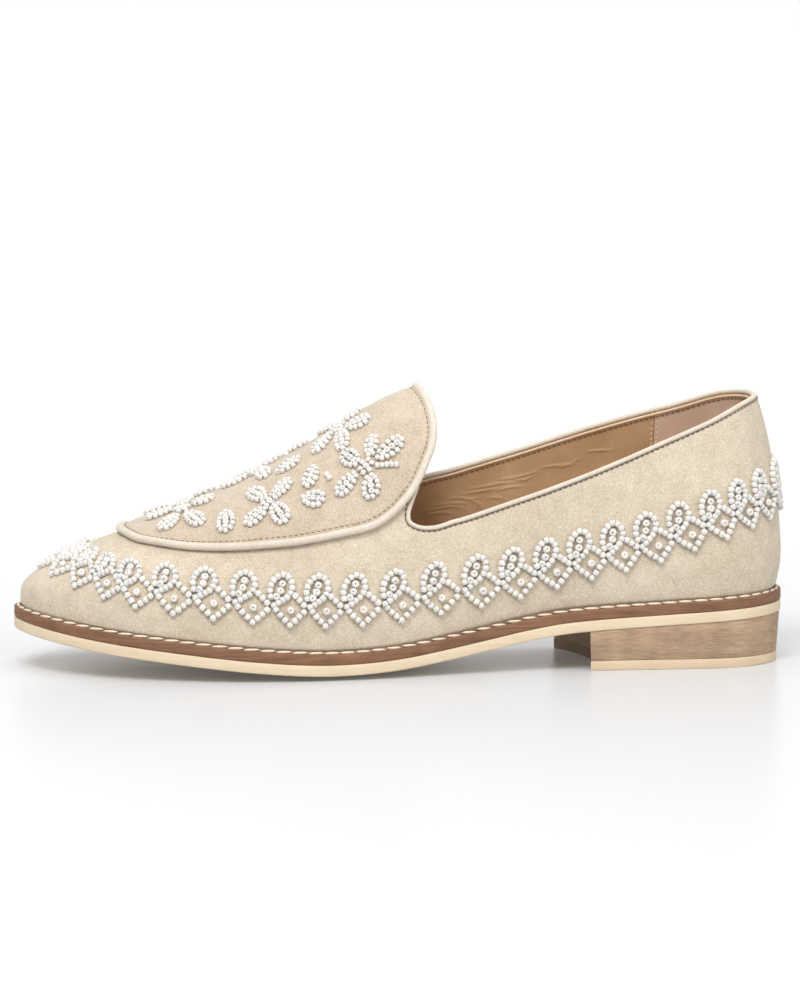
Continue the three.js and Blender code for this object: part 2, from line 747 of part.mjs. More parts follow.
addPiece('outsole', outsoleGeometry(), NATURAL);
addPiece('welt', weltGeometry(), BROWN);
addPiece('heel_stack', heelStackGeometry(), STACK);
addPiece('heel_top_piece', topPieceGeometry(), NATURAL);
addPiece('insole', insoleGeometry(), TAN);
addPiece('upper', upperGeometry(), SUEDE);
addPiece('apron', apronGeometry(), SUEDE);
addPiece('apron_piping', pipingGeometry(), PALE_SUEDE);
addPiece('topline_binding', bindingGeometry(), PALE_SUEDE);
addPiece('bead_border', borderGeometry(), PEARL);
FLOWERS.forEach((_, i) => addPiece(`bead_flower_${i + 1}`, flowerGeometry(i + 1), PEARL));
PETALS.filter((row) => row.flower === 0).forEach((row, i) => {
  addPiece(`bead_petal_${i + 1}`, petalGeometry(row), PEARL);
});

const model = new THREE.Group();
model.add(loafer);

export default model;
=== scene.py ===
"""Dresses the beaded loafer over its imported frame: suede upper, piped apron, welted sole, beadwork."""

import logging
import math
from dataclasses import dataclass, field
from enum import Enum
from functools import cache
from typing import Protocol

import bmesh
import bpy
import numpy as np
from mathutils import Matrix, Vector

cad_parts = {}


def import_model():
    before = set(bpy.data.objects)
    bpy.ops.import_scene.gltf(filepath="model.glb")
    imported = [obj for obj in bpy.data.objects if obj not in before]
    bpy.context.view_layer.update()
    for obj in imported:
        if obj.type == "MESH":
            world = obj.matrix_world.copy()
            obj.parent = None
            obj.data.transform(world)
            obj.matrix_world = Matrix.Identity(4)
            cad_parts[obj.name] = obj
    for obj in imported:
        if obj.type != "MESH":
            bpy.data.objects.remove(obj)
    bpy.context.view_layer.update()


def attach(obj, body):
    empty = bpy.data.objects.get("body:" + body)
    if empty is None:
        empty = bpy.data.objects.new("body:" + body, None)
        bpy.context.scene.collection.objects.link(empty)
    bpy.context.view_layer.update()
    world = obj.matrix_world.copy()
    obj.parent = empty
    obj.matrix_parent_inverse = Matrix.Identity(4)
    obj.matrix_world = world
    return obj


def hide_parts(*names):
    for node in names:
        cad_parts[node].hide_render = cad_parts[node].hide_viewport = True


log = logging.getLogger("loafer")

MM = 0.001
BODY = "root"
HALF_PI = math.pi / 2

Colour = tuple[float, float, float]
Points = np.ndarray
Material = bpy.types.Material
Piece = bpy.types.Object
Socket = bpy.types.NodeSocket


class Side(Enum):
    """The two sides of the shoe, with the sign of their Y."""

    LATERAL = 1
    MEDIAL = -1

    @property
    def column(self) -> str:
        """The name of this side's column in the tables."""
        return self.name.lower()

    def angles(self, degrees: Points) -> Points:
        """Angles over both sides, in radians, from degrees up a rib of this side."""
        return np.radians(degrees if self is Side.LATERAL else 180 - degrees)


def srgb(red: int, green: int, blue: int) -> Colour:
    """Linear colour of a display colour in steps of 0 to 255."""
    return tuple(((c / 255 + 0.055) / 1.055) ** 2.4 if c > 10 else c / 3294.6 for c in (red, green, blue))


def unit(vectors: Points) -> Points:
    """The same vectors at length one."""
    return vectors / np.maximum(np.linalg.norm(vectors, axis=-1, keepdims=True), 1e-9)


def spread(count: int, start: float, end: float) -> Points:
    """Numbers at equal steps, both ends included."""
    return np.linspace(start, end, count + 1)


def circle(count: int) -> Points:
    """Angles at equal steps once round, the last step left out."""
    return spread(count, 0, 2 * math.pi)[:-1]


def travelled(points: Points) -> Points:
    """Distance along rows of points, from 0 at the first of each row.

    Args:
        points: the points, with their coordinates in the last axis.

    Returns:
        One distance for each point.
    """
    steps = np.linalg.norm(np.diff(points, axis=-2), axis=-1)
    return np.concatenate([np.zeros((*steps.shape[:-1], 1)), np.cumsum(steps, axis=-1)], axis=-1)


def spline(knots: Points, places: Points) -> Points:
    """Smooth curve through points.

    Args:
        knots: the points, one row each.
        places: where to read the curve, counted in knots from the first.

    Returns:
        One row for each place.
    """
    last = len(knots) - 1
    near = np.clip(np.floor(places).astype(int), 0, last - 1)
    t = (places - near)[:, None]
    before, start = knots[np.maximum(near - 1, 0)], knots[near]
    end, after = knots[near + 1], knots[np.minimum(near + 2, last)]
    leave, arrive = (end - before) / 2, (after - start) / 2
    cubic = (2 * start - 2 * end + leave + arrive) * t**3
    return cubic + (3 * end - 3 * start - 2 * leave - arrive) * t**2 + leave * t + start


class Table:
    """Rows of numbers under named columns; the first column is the one that is looked up."""

    def __init__(self, columns: str, *rows: tuple[float, ...]) -> None:
        """Keeps the rows by column.

        Args:
            columns: the columns' names, with spaces between.
            rows: the numbers.
        """
        self.columns = dict(zip(columns.split(), np.array(rows, float).T))
        self.key = next(iter(self.columns))

    def __getitem__(self, column: str) -> Points:
        """All numbers of one column."""
        return self.columns[column]

    def rows(self) -> list[dict[str, float]]:
        """Each row as a dict."""
        return [dict(zip(self.columns, map(float, row))) for row in zip(*self.columns.values())]

    def along(self, column: str, x: Points) -> Points:
        """Smooth curve through one column, held level past the table's ends.

        Args:
            column: the column to read.
            x: where to read it.

        Returns:
            One number for each x.
        """
        keys, values = self[self.key], self[column]
        slopes = np.empty_like(values)
        slopes[1:-1] = (values[2:] - values[:-2]) / (keys[2:] - keys[:-2])
        slopes[0] = (values[1] - values[0]) / (keys[1] - keys[0])
        slopes[-1] = (values[-1] - values[-2]) / (keys[-1] - keys[-2])
        x = np.clip(np.asarray(x, float), keys[0], keys[-1])
        k = np.clip(np.searchsorted(keys, x, side="right") - 1, 0, len(keys) - 2)
        span = keys[k + 1] - keys[k]
        t = (x - keys[k]) / span
        u = 1 - t
        heights = values[k] * u * u * (1 + 2 * t) + values[k + 1] * t * t * (3 - 2 * t)
        return heights + span * t * u * (slopes[k] * u - slopes[k + 1] * t)


# Shape of the shoe, in millimetres. A station is a distance along the sole from the back of the heel.

# Half widths of the sole from its axis
SOLE_WIDTH = Table(
    "x lateral medial",
    (32, 30.5, 30.0), (62, 31.0, 29.0), (92, 32.5, 26.5), (118, 36.0, 27.5),
    (145, 41.5, 35.0), (168, 44.5, 42.0), (186, 45.0, 45.0),
)

# Middle line of the sole, seen from above
AXIS = Table("x y", (0, 0), (120, 0), (186, 0), (229, -2.6), (265, -6))

# Height of the sole's lower edge, and how far its middle bulges under that
SOLE_LINE = Table(
    "x edge crown",
    (0, 17.4, 0), (20, 16.4, 0), (35, 15.6, 0), (50, 14.8, 0), (65, 14.0, 0), (80, 12.8, 0),
    (92, 10.9, 0.2), (105, 8.3, 0.8), (120, 5.4, 1.6), (135, 3.0, 2.4), (150, 1.8, 2.8),
    (165, 1.7, 2.8), (185, 3.1, 2.4), (210, 5.8, 1.6), (235, 8.7, 1.0), (250, 10.9, 0.6), (265, 13.5, 0.4),
)

# Ribs of the upper: top, roundness, distance in from the sole's edge, and how far they tuck in at the welt
LAST_FORM = Table(
    "x roof power inset tuck",
    (0, 120, 2.1, -0.2, 2.3), (34, 118, 2.12, 0.3, 2.0), (60, 114, 2.15, 0.8, 2.0),
    (85, 108.5, 2.15, 1.2, 2.0), (105, 102.5, 2.15, 1.2, 2.0), (118, 97.5, 2.1, 1.2, 1.8),
    (127, 93.9, 2.05, 1.2, 1.6), (138, 89.4, 2.05, 1.2, 1.5), (152, 80.6, 2.1, 1.2, 1.5),
    (166, 71.6, 2.15, 1.2, 1.5), (180, 63.9, 2.2, 1.2, 1.4), (194, 56.8, 2.25, 1.2, 1.2),
    (208, 51.8, 2.3, 1.4, 1.0), (221, 48.3, 2.4, 1.6, 0.8), (235, 43.3, 2.6, 1.8, 0.5),
    (250, 37.0, 3.2, 2.0, 0.3), (265, 30.5, 5.0, 2.0, 0.2),
)

# Height of the collar on each side
TOPLINE = Table(
    "x lateral medial",
    (8, 90.1, 92.4), (17, 87.7, 90.8), (31, 81.5, 86.5), (46, 75.2, 83.1), (60, 69.4, 79.6),
    (74, 64.1, 75.9), (87, 59.7, 72.3), (101, 55.6, 68.3), (112, 52.5, 65.0), (118, 51.1, 63.4),
)
COLLAR_END = float(TOPLINE["x"][-1])

# Corner between collar and tongue on each side, seen from the side
THROAT = Table(
    "lateral_x lateral_z medial_x medial_z",
    (123.6, 49.7, 122.9, 62), (129.2, 49.8, 127.6, 61.9), (133.6, 51.9, 131.1, 63.1),
    (134.4, 55.4, 131.8, 65.2), (133, 59.4, 130.7, 68.1),
)

# Rim of the apron from its nose to the middle of the tongue, as degrees up each rib
APRON_RIM = Table(
    "x lateral medial",
    (227.9, 90, 90), (226.3, 77, 77), (221.5, 62.5, 62.5), (208.8, 51, 51), (192.6, 43.3, 44),
    (176.5, 38, 39.6), (160.5, 35, 38.5), (148, 33.2, 38.5), (141, 34.2, 40), (136.5, 36.4, 42),
    (132.8, 39.2, 44.2), (130, 42.6, 46.8), (127.8, 46.4, 49.4), (125.9, 50.2, 52.4),
    (124.9, 55.5, 56.5), (125.1, 62, 62), (126.1, 70, 70), (127.4, 79, 79), (128.4, 90, 90),
)
# First row of the tongue's free edge, and the number of the throat's last knot at the tongue's middle
TONGUE_ROW = 11
THROAT_KNOTS = len(THROAT["lateral_x"]) + len(APRON_RIM["x"]) - TONGUE_ROW

# Padding under the apron's ridge
PADDING = Table(
    "x height",
    (0, 0), (128, 0), (139, 0.3), (150, 1.1), (162, 1.4), (172, 1.7), (184, 2.1), (196, 2.2),
    (206, 2.0), (214, 1.3), (222, 0.4), (229, 0), (265, 0),
)

# Distance of the bead border's points from the welt
BORDER = Table(
    "x low",
    (0, 27.5), (8, 25.4), (25, 20.5), (48, 14.2), (72, 9.8), (96, 7.4),
    (125, 8.3), (186, 8.6), (225, 8.9), (246, 12.0), (265, 15.5),
)

# Wrinkles of the lining on the inside of the medial wall, each a path of places
WRINKLES = Table(
    "wrinkle x angle",
    (1, 109, 152.7), (1, 102.4, 153.3), (1, 99, 153.6), (1, 94.4, 154.1),
    (2, 104.5, 151.9), (2, 100, 152.4), (2, 94, 152.7), (2, 88.4, 153.4),
    (3, 94, 151.6), (3, 89, 152.1), (3, 84, 152), (3, 80, 151.7),
    (4, 88.4, 152.8), (4, 85, 153.4), (4, 82, 152.8),
    (5, 79, 151.1), (5, 75, 151.2), (5, 69.3, 151.5), (5, 65, 150.4),
    (6, 73, 151.9), (6, 67, 151.6), (7, 62.1, 148.8), (7, 58, 149), (7, 53.4, 149.4),
    (8, 113, 152.6), (8, 108.6, 153.5), (8, 104.5, 155), (8, 101, 155.1),
    (9, 119, 153.3), (9, 114.8, 153.6), (9, 109, 154.9), (9, 106, 155.8),
    (10, 122, 153.7), (10, 117, 154.4), (10, 111, 155.2), (10, 106.5, 157.2),
    (11, 104.5, 155.2), (11, 102, 156.6), (11, 100.4, 158.1),
    (12, 98, 155.8), (12, 95, 156.4), (12, 93, 157.3),
    (13, 95, 154.5), (13, 91, 154.4), (13, 86, 155),
    (14, 121, 155), (14, 115, 155.9), (14, 111, 157.3),
)

# Points of the border on the lateral side, as a distance along it from the toe
BORDER_POINTS = np.array([
    12.6, 22.9, 33.9, 45.7, 59, 72.5, 85.6, 98, 109.9, 122.5, 136,
    150, 164.2, 178, 191, 203.2, 215.2, 227.4, 239.6, 251.2, 261.5, 270.8,
])

# Middles of the flowers
FLOWERS = Table(
    "x angle",
    (147.2, 51.8), (179.2, 58), (206.8, 78.5), (181.5, 87), (154.3, 82), (147.2, 128.2), (179.2, 122),
)

# Petals with the number of their flower; number 0 stands alone
PETALS = Table(
    "flower x angle length width turn",
    (1, 152, 58.7, 10.5, 6.6, 55), (1, 145, 58.8, 9.2, 6, 98), (1, 139, 53.9, 11.6, 7.2, 166),
    (1, 140.3, 48.5, 9.6, 2.6, -158), (1, 146, 44, 9.8, 7.2, -96), (1, 153.9, 49, 10, 6.8, -28),
    (2, 182.7, 65.6, 11, 6.4, 58), (2, 174.9, 62.4, 9.4, 6.4, 144), (2, 184.1, 52.9, 9.6, 6.4, -20),
    (2, 176.4, 50, 11, 6.8, -114),
    (3, 212, 69, 11, 6.4, -46), (3, 203.7, 66.6, 11.6, 6.6, -114), (3, 199.6, 80, 9, 6, 171),
    (3, 214.4, 82.4, 11, 6.2, -2), (3, 205.6, 86.6, 10, 6.2, 100),
    (4, 188.4, 87.2, 11, 6.2, 14), (4, 179.6, 80.4, 10, 6.2, -98), (4, 175.4, 92, 10.4, 6.2, 145),
    (4, 184.4, 95.4, 10.4, 6.2, 64),
    (5, 160, 77.6, 11, 6.4, -34), (5, 154, 71.6, 12, 6.4, -90), (5, 148.4, 76, 11, 6.6, -164),
    (5, 149.2, 87.4, 9.6, 6, 160), (5, 157.2, 92.4, 10.4, 6.2, 66),
    (6, 152, 121.3, 10.5, 6.6, -55), (6, 145, 121.2, 9.2, 6, -98), (6, 139, 126.1, 11.6, 7.2, -166),
    (6, 146, 136, 9.8, 7.2, 96), (6, 153.9, 131, 10, 6.8, 28),
    (7, 182.7, 114.4, 11, 6.4, -58), (7, 174.9, 117.6, 9.4, 6.4, -144), (7, 184.1, 127.1, 9.6, 6.4, 20),
    (7, 176.4, 130, 11, 6.8, 114),
    (0, 193.8, 57.1, 11, 7, -86), (0, 165.3, 60.9, 9.6, 6.6, -68), (0, 165.1, 49.8, 10, 6.4, -148),
    (0, 171.7, 75.6, 10.2, 6.2, 166), (0, 167, 93, 8.5, 6, 175),
    (0, 193.8, 122.9, 11, 7, 86), (0, 165.3, 119.1, 9.6, 6.6, 68), (0, 165.1, 130.2, 10, 6.4, 148),
    (0, 214.8, 92.6, 9.6, 5.6, 12), (0, 198, 92.8, 8.4, 5.4, 170), (0, 159.7, 56.2, 4.4, 2.4, 66),
)


@dataclass(frozen=True)
class Last:
    """The form that the shoe is made over, with the outline of its sole. Lengths in millimetres."""

    length: float = 265
    back_beads: float = 1
    heel_round: float = 32
    ball: float = 186
    heel_power: float = 2.15
    toe_power: float = 2
    heel_fan: float = 34
    toe_fan: float = 229
    gap: float = 0.3
    outsole: float = 3.5
    welt: float = 3.7
    wall: float = 2
    tuck_height: float = 15
    topline_reach: float = 28
    tongue_gap: float = 0.5

    @property
    def sole(self) -> float:
        """Thickness of outsole and welt together."""
        return self.outsole + self.gap + self.welt

    def place(self, points: Points) -> Points:
        """Points of the last, in metres in the frame that all pieces share."""
        middle = (self.length - self.back_beads) / 2
        return (np.asarray(points, float) - (middle, 0, 0)) * MM

    def stations(self, heel: int, middle: int, toe: int) -> Points:
        """Stations that crowd together towards the rounded back and toe.

        Args:
            heel: steps in the rounded back.
            middle: steps between heel and ball.
            toe: steps ahead of the ball.

        Returns:
            The stations, back to front.
        """
        back = self.heel_round * (1 - np.cos(spread(heel, 0, HALF_PI)))
        waist = spread(middle, self.heel_round, self.ball)[1:-1]
        front = self.ball + (self.length - self.ball) * np.sin(spread(toe, 0, HALF_PI))
        return np.concatenate([back, waist, front])

    def half_width(self, x: Points, sign: Points, inset: Points) -> Points:
        """Distance from the sole's axis to its edge.

        Args:
            x: stations.
            sign: 1 on the lateral side, -1 on the medial side.
            inset: how far in from the sole's own edge.

        Returns:
            The half widths.
        """
        lateral, medial = SOLE_WIDTH.along("lateral", x), SOLE_WIDTH.along("medial", x)
        width = np.where(sign > 0, lateral, medial) - inset
        heel = np.clip((self.heel_round - x) / (self.heel_round - inset), 0, 1)
        toe = np.clip((x - self.ball) / (self.length - inset - self.ball), 0, 1)
        heel_share = np.maximum(0, 1 - heel**self.heel_power) ** (1 / self.heel_power)
        return width * heel_share * np.maximum(0, 1 - toe**self.toe_power) ** (1 / self.toe_power)

    def sole_edge(self, x: Points, sign: Points, inset: Points) -> tuple[Points, Points]:
        """Edge of the sole in plan.

        Args:
            x: stations.
            sign: 1 on the lateral side, -1 on the medial side.
            inset: how far in from the sole's own edge.

        Returns:
            X and Y of the edge.
        """
        share = x / self.length
        inside = inset * (1 - share) + (self.length - inset) * share
        return inside, AXIS.along("y", inside) + sign * self.half_width(inside, sign, inset)

    def skin(self, x: Points, angle: Points, depth: Points = 0.0) -> Points:
        """Points on the upper.

        Args:
            x: stations of the ribs.
            angle: angle up each rib, from 0 at the lateral welt to half a turn at the medial one.
            depth: how far in from the outer face.

        Returns:
            The points, in the last axis.
        """
        x, angle, depth = np.broadcast_arrays(*(np.asarray(value, float) for value in (x, angle, depth)))
        sign = np.where(angle <= HALF_PI, 1.0, -1.0)
        lean = np.clip(np.minimum(angle, math.pi - angle), 0, HALF_PI)
        foot_x, foot_y = self.sole_edge(x, sign, LAST_FORM.along("inset", x) + depth)
        hub_x = np.clip(foot_x, self.heel_fan, self.toe_fan)
        hub_y = AXIS.along("y", hub_x)
        reach_x, reach_y = foot_x - hub_x, foot_y - hub_y
        power = 2 / LAST_FORM.along("power", x)
        out = np.abs(np.cos(lean)) ** power
        plan_x, plan_y = hub_x + reach_x * out, hub_y + reach_y * out
        welt = SOLE_LINE.along("edge", foot_x) + self.sole + self.gap
        rise = (LAST_FORM.along("roof", plan_x) - depth - welt) * np.sin(lean) ** power
        tuck = LAST_FORM.along("tuck", x) * np.maximum(0, 1 - rise / self.tuck_height) ** 2
        reach = np.maximum(np.hypot(reach_x, reach_y), 1e-9)
        return np.stack([plan_x - reach_x / reach * tuck, plan_y - reach_y / reach * tuck, welt + rise], -1)

    def normal(self, x: Points, angle: Points) -> Points:
        """Outward direction on the upper.

        Args:
            x: stations of the ribs.
            angle: angle up each rib.

        Returns:
            Unit vectors in the last axis.
        """
        step = 0.02
        x = np.clip(x, 2 * step, self.length - 2 * step)
        run = self.skin(x + step, angle) - self.skin(x - step, angle)
        climb = self.skin(x, angle + step) - self.skin(x, angle - step)
        return unit(np.cross(climb, run))

    def scales(self, x: Points, angle: Points) -> tuple[Points, Points]:
        """Millimetres on the skin for one millimetre of station and for one radian of angle.

        Args:
            x: stations of the ribs.
            angle: angle up each rib.

        Returns:
            Both scales.
        """
        step = 0.01
        run = np.linalg.norm(self.skin(x + step, angle) - self.skin(x - step, angle), axis=-1)
        climb = np.linalg.norm(self.skin(x, angle + step) - self.skin(x, angle - step), axis=-1)
        return run / (2 * step), climb / (2 * step)

    def angle_at(self, x: Points, sign: Points, distance: Points) -> Points:
        """Angle up a rib at a distance along it from the welt.

        Args:
            x: stations of the ribs.
            sign: 1 on the lateral side, -1 on the medial side.
            distance: distance along the rib.

        Returns:
            Angles as skin takes them, over both sides.
        """
        lean = spread(120, 0, HALF_PI)
        turned = np.where(sign[:, None] > 0, lean, math.pi - lean)
        travel = travelled(self.skin(x[:, None], turned))
        found = np.array([np.interp(want, row, lean) for want, row in zip(distance, travel)])
        return np.where(sign > 0, found, math.pi - found)

    def angle_at_height(self, x: Points, sign: float, height: Points | None, depth: float) -> Points:
        """Angle at which a rib reaches a height.

        Args:
            x: stations of the ribs.
            sign: 1 on the lateral side, -1 on the medial side.
            height: wanted heights, or None for the collar's own line.
            depth: how far in from the outer face.

        Returns:
            Angles as skin takes them, over both sides.
        """
        low, high = np.zeros_like(x), np.full_like(x, HALF_PI)
        for _ in range(40):
            middle = (low + high) / 2
            point = self.skin(x, middle if sign > 0 else math.pi - middle, depth)
            wanted = self.collar_height(point) if height is None else height
            below = point[:, 2] < wanted
            low, high = np.where(below, middle, low), np.where(below, high, middle)
        return low if sign > 0 else math.pi - low

    def collar_height(self, points: Points) -> Points:
        """Height of the collar's cut edge.

        Args:
            points: points of the wall.

        Returns:
            The height over each point.
        """
        t = (1 - points[:, 1] / self.topline_reach) / 2
        lateral, medial = TOPLINE.along("lateral", points[:, 0]), TOPLINE.along("medial", points[:, 0])
        return lateral + (medial - lateral) * t

    def throat_edge(self, side: Side, places: Points, depth: float) -> tuple[Points, Points]:
        """The opening's edge ahead of the collar, on the wall.

        Args:
            side: which side.
            places: as throat_curve takes them.
            depth: how far in from the outer face.

        Returns:
            Stations and angles.
        """
        lateral, medial = (self.throat_curve(each, places) for each in (Side.LATERAL, Side.MEDIAL))
        ruled = lateral if side is Side.LATERAL else medial
        for _ in range(3):
            angle = self.angle_at_height(ruled[:, 0], side.value, ruled[:, 1], depth)
            across = self.skin(ruled[:, 0], angle, depth)[:, 1:2]
            ruled = lateral + (medial - lateral) * (1 - across / self.topline_reach) / 2
        return ruled[:, 0], self.angle_at_height(ruled[:, 0], side.value, ruled[:, 1], depth)

    def throat_curve(self, side: Side, places: Points) -> Points:
        """Side view of the opening's edge ahead of the collar.

        Args:
            side: which side.
            places: 0 at the collar's end, 1 to 5 round the throat, then up the tongue's free edge.

        Returns:
            X and Z of each place.
        """
        column = side.column
        rim = self.skin(APRON_RIM["x"][TONGUE_ROW:], side.angles(APRON_RIM[column][TONGUE_ROW:]))
        tongue = np.stack([rim[:, 0] - self.tongue_gap, rim[:, 2]], 1)
        throat = np.stack([THROAT[f"{column}_x"], THROAT[f"{column}_z"]], 1)
        end = np.array([[COLLAR_END, TOPLINE[column][-1]]])
        return spline(np.concatenate([end, throat, tongue]), places)


LAST = Last()


# Meshes


def add_object(name: str, data: bpy.types.ID) -> Piece:
    """A new object in the scene, at the origin.

    Args:
        name: the object's name.
        data: its mesh, camera or lamp.

    Returns:
        The object.
    """
    made = bpy.data.objects.new(name, data)
    bpy.context.scene.collection.objects.link(made)
    return made


def build_mesh(name: str, points: Points, faces: Points | list, sharp: float = 40) -> Piece:
    """A closed mesh from points of the last.

    Args:
        name: the piece's name.
        points: points in millimetres.
        faces: corners of each face.
        sharp: edges that turn by more degrees than this stay sharp.

    Returns:
        The object, doubles merged and faces outward.
    """
    mesh = bpy.data.meshes.new(name)
    corners = faces.tolist() if isinstance(faces, np.ndarray) else faces
    mesh.from_pydata(LAST.place(points).tolist(), [], corners)
    shape = bmesh.new()
    shape.from_mesh(mesh)
    bmesh.ops.remove_doubles(shape, verts=shape.verts, dist=2e-7)
    bmesh.ops.dissolve_degenerate(shape, edges=shape.edges, dist=1e-8)
    if shape.calc_volume(signed=True) < 0:
        bmesh.ops.reverse_faces(shape, faces=shape.faces)
    shape.to_mesh(mesh)
    shape.free()
    smooth(mesh, sharp)
    return add_object(name, mesh)


def smooth(mesh: bpy.types.Mesh, sharp: float) -> None:
    """Smooth shading, with edges left sharp where they turn by more degrees than given."""
    mesh.shade_smooth()
    mesh.set_sharp_from_angle(angle=math.radians(sharp))


def loft_faces(rings: int, size: int, ring_closed: bool = True, path_closed: bool = False) -> Points:
    """Faces between rings of equal size.

    Args:
        rings: number of rings.
        size: points in each ring.
        ring_closed: whether a ring's last point joins its first.
        path_closed: whether the last ring joins the first.

    Returns:
        Four corners for each face.
    """
    i = np.arange(rings if path_closed else rings - 1)[:, None]
    j = np.arange(size if ring_closed else size - 1)[None, :]
    after, beside = (i + 1) % rings, (j + 1) % size
    corners = [i * size + j, i * size + beside, after * size + beside, after * size + j]
    return np.stack(corners, -1).reshape(-1, 4)


def loft(
    name: str, rings: Points, path_closed: bool = False, capped: bool = False, sharp: float = 40
) -> Piece:
    """A closed mesh through rings.

    Args:
        name: the piece's name.
        rings: points in millimetres, ring by ring.
        path_closed: whether the last ring joins the first.
        capped: whether the end rings are closed by a fan.
        sharp: edges that turn by more degrees than this stay sharp.

    Returns:
        The object.
    """
    if capped:
        ends = [np.repeat(rings[k].mean(0)[None], rings.shape[1], 0)[None] for k in (0, -1)]
        rings = np.concatenate([ends[0], rings, ends[1]])
    faces = loft_faces(rings.shape[0], rings.shape[1], True, path_closed)
    return build_mesh(name, rings.reshape(-1, 3), faces, sharp)


def subtract(piece: Piece, cutter: Piece, sharp: float = 40) -> None:
    """Cuts one closed mesh out of another and deletes the cutter.

    Args:
        piece: what is cut.
        cutter: what is taken away.
        sharp: edges that turn by more degrees than this stay sharp.
    """
    cut = piece.modifiers.new("cut", "BOOLEAN")
    cut.operation = "DIFFERENCE"
    cut.solver = "MANIFOLD"
    cut.object = cutter
    bake(piece)
    bpy.data.objects.remove(cutter)
    smooth(piece.data, sharp)


def bake(piece: Piece) -> None:
    """Replaces a piece's mesh by what its modifiers make, and removes them.

    Args:
        piece: the piece.
    """
    graph = bpy.context.evaluated_depsgraph_get()
    made = bpy.data.meshes.new_from_object(piece.evaluated_get(graph))
    piece.modifiers.clear()
    old = piece.data
    piece.data = made
    made.name = piece.name
    bpy.data.meshes.remove(old)


class Finish(Protocol):
    """Anything that can make a material."""

    def build(self) -> Material:
        """The material of this finish."""


@cache
def material(finish: Finish) -> Material:
    """The material of a finish, made once."""
    return finish.build()


def dress(piece: Piece, finish: Finish) -> None:
    """Gives a piece one finish."""
    piece.data.materials.clear()
    piece.data.materials.append(material(finish))


def settle(piece: Piece, slot: str, *nodes: str, finish: Finish | None = None) -> None:
    """Dresses a piece, makes it ride on the shoe, hides the nodes that it stands for, and reports it.

    Args:
        piece: the built piece.
        slot: the record's material slot; not used.
        nodes: nodes of the frame that the piece stands for.
        finish: its finish, unless it has one already.
    """
    if finish:
        dress(piece, finish)
    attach(piece, BODY)
    if nodes:
        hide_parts(*nodes)
    named = ", ".join(nodes) or "no node"
    log.info("%s: %d faces, stands for %s", piece.name, len(piece.data.polygons), named)


# Finishes


@dataclass
class NodeTree:
    """A tree of nodes, with short calls to add and join them."""

    tree: bpy.types.NodeTree

    def add(self, kind: str, **inputs: object) -> bpy.types.Node:
        """Adds a node.

        Args:
            kind: the node's type.
            inputs: values or sockets for its inputs, with underscores for spaces.

        Returns:
            The node.
        """
        node = self.tree.nodes.new(kind)
        for name, value in inputs.items():
            self.feed(node.inputs[name.replace("_", " ")], value)
        return node

    def feed(self, socket: Socket, value: object) -> None:
        """Joins a socket to an input, or sets the input's own value.

        Args:
            socket: the input.
            value: a socket, or a value.
        """
        if isinstance(value, Socket):
            self.tree.links.new(value, socket)
        else:
            socket.default_value = value

    def fill(self, node: bpy.types.Node, *values: object) -> None:
        """Feeds a node's inputs in their order."""
        for socket, value in zip(node.inputs, values):
            self.feed(socket, value)


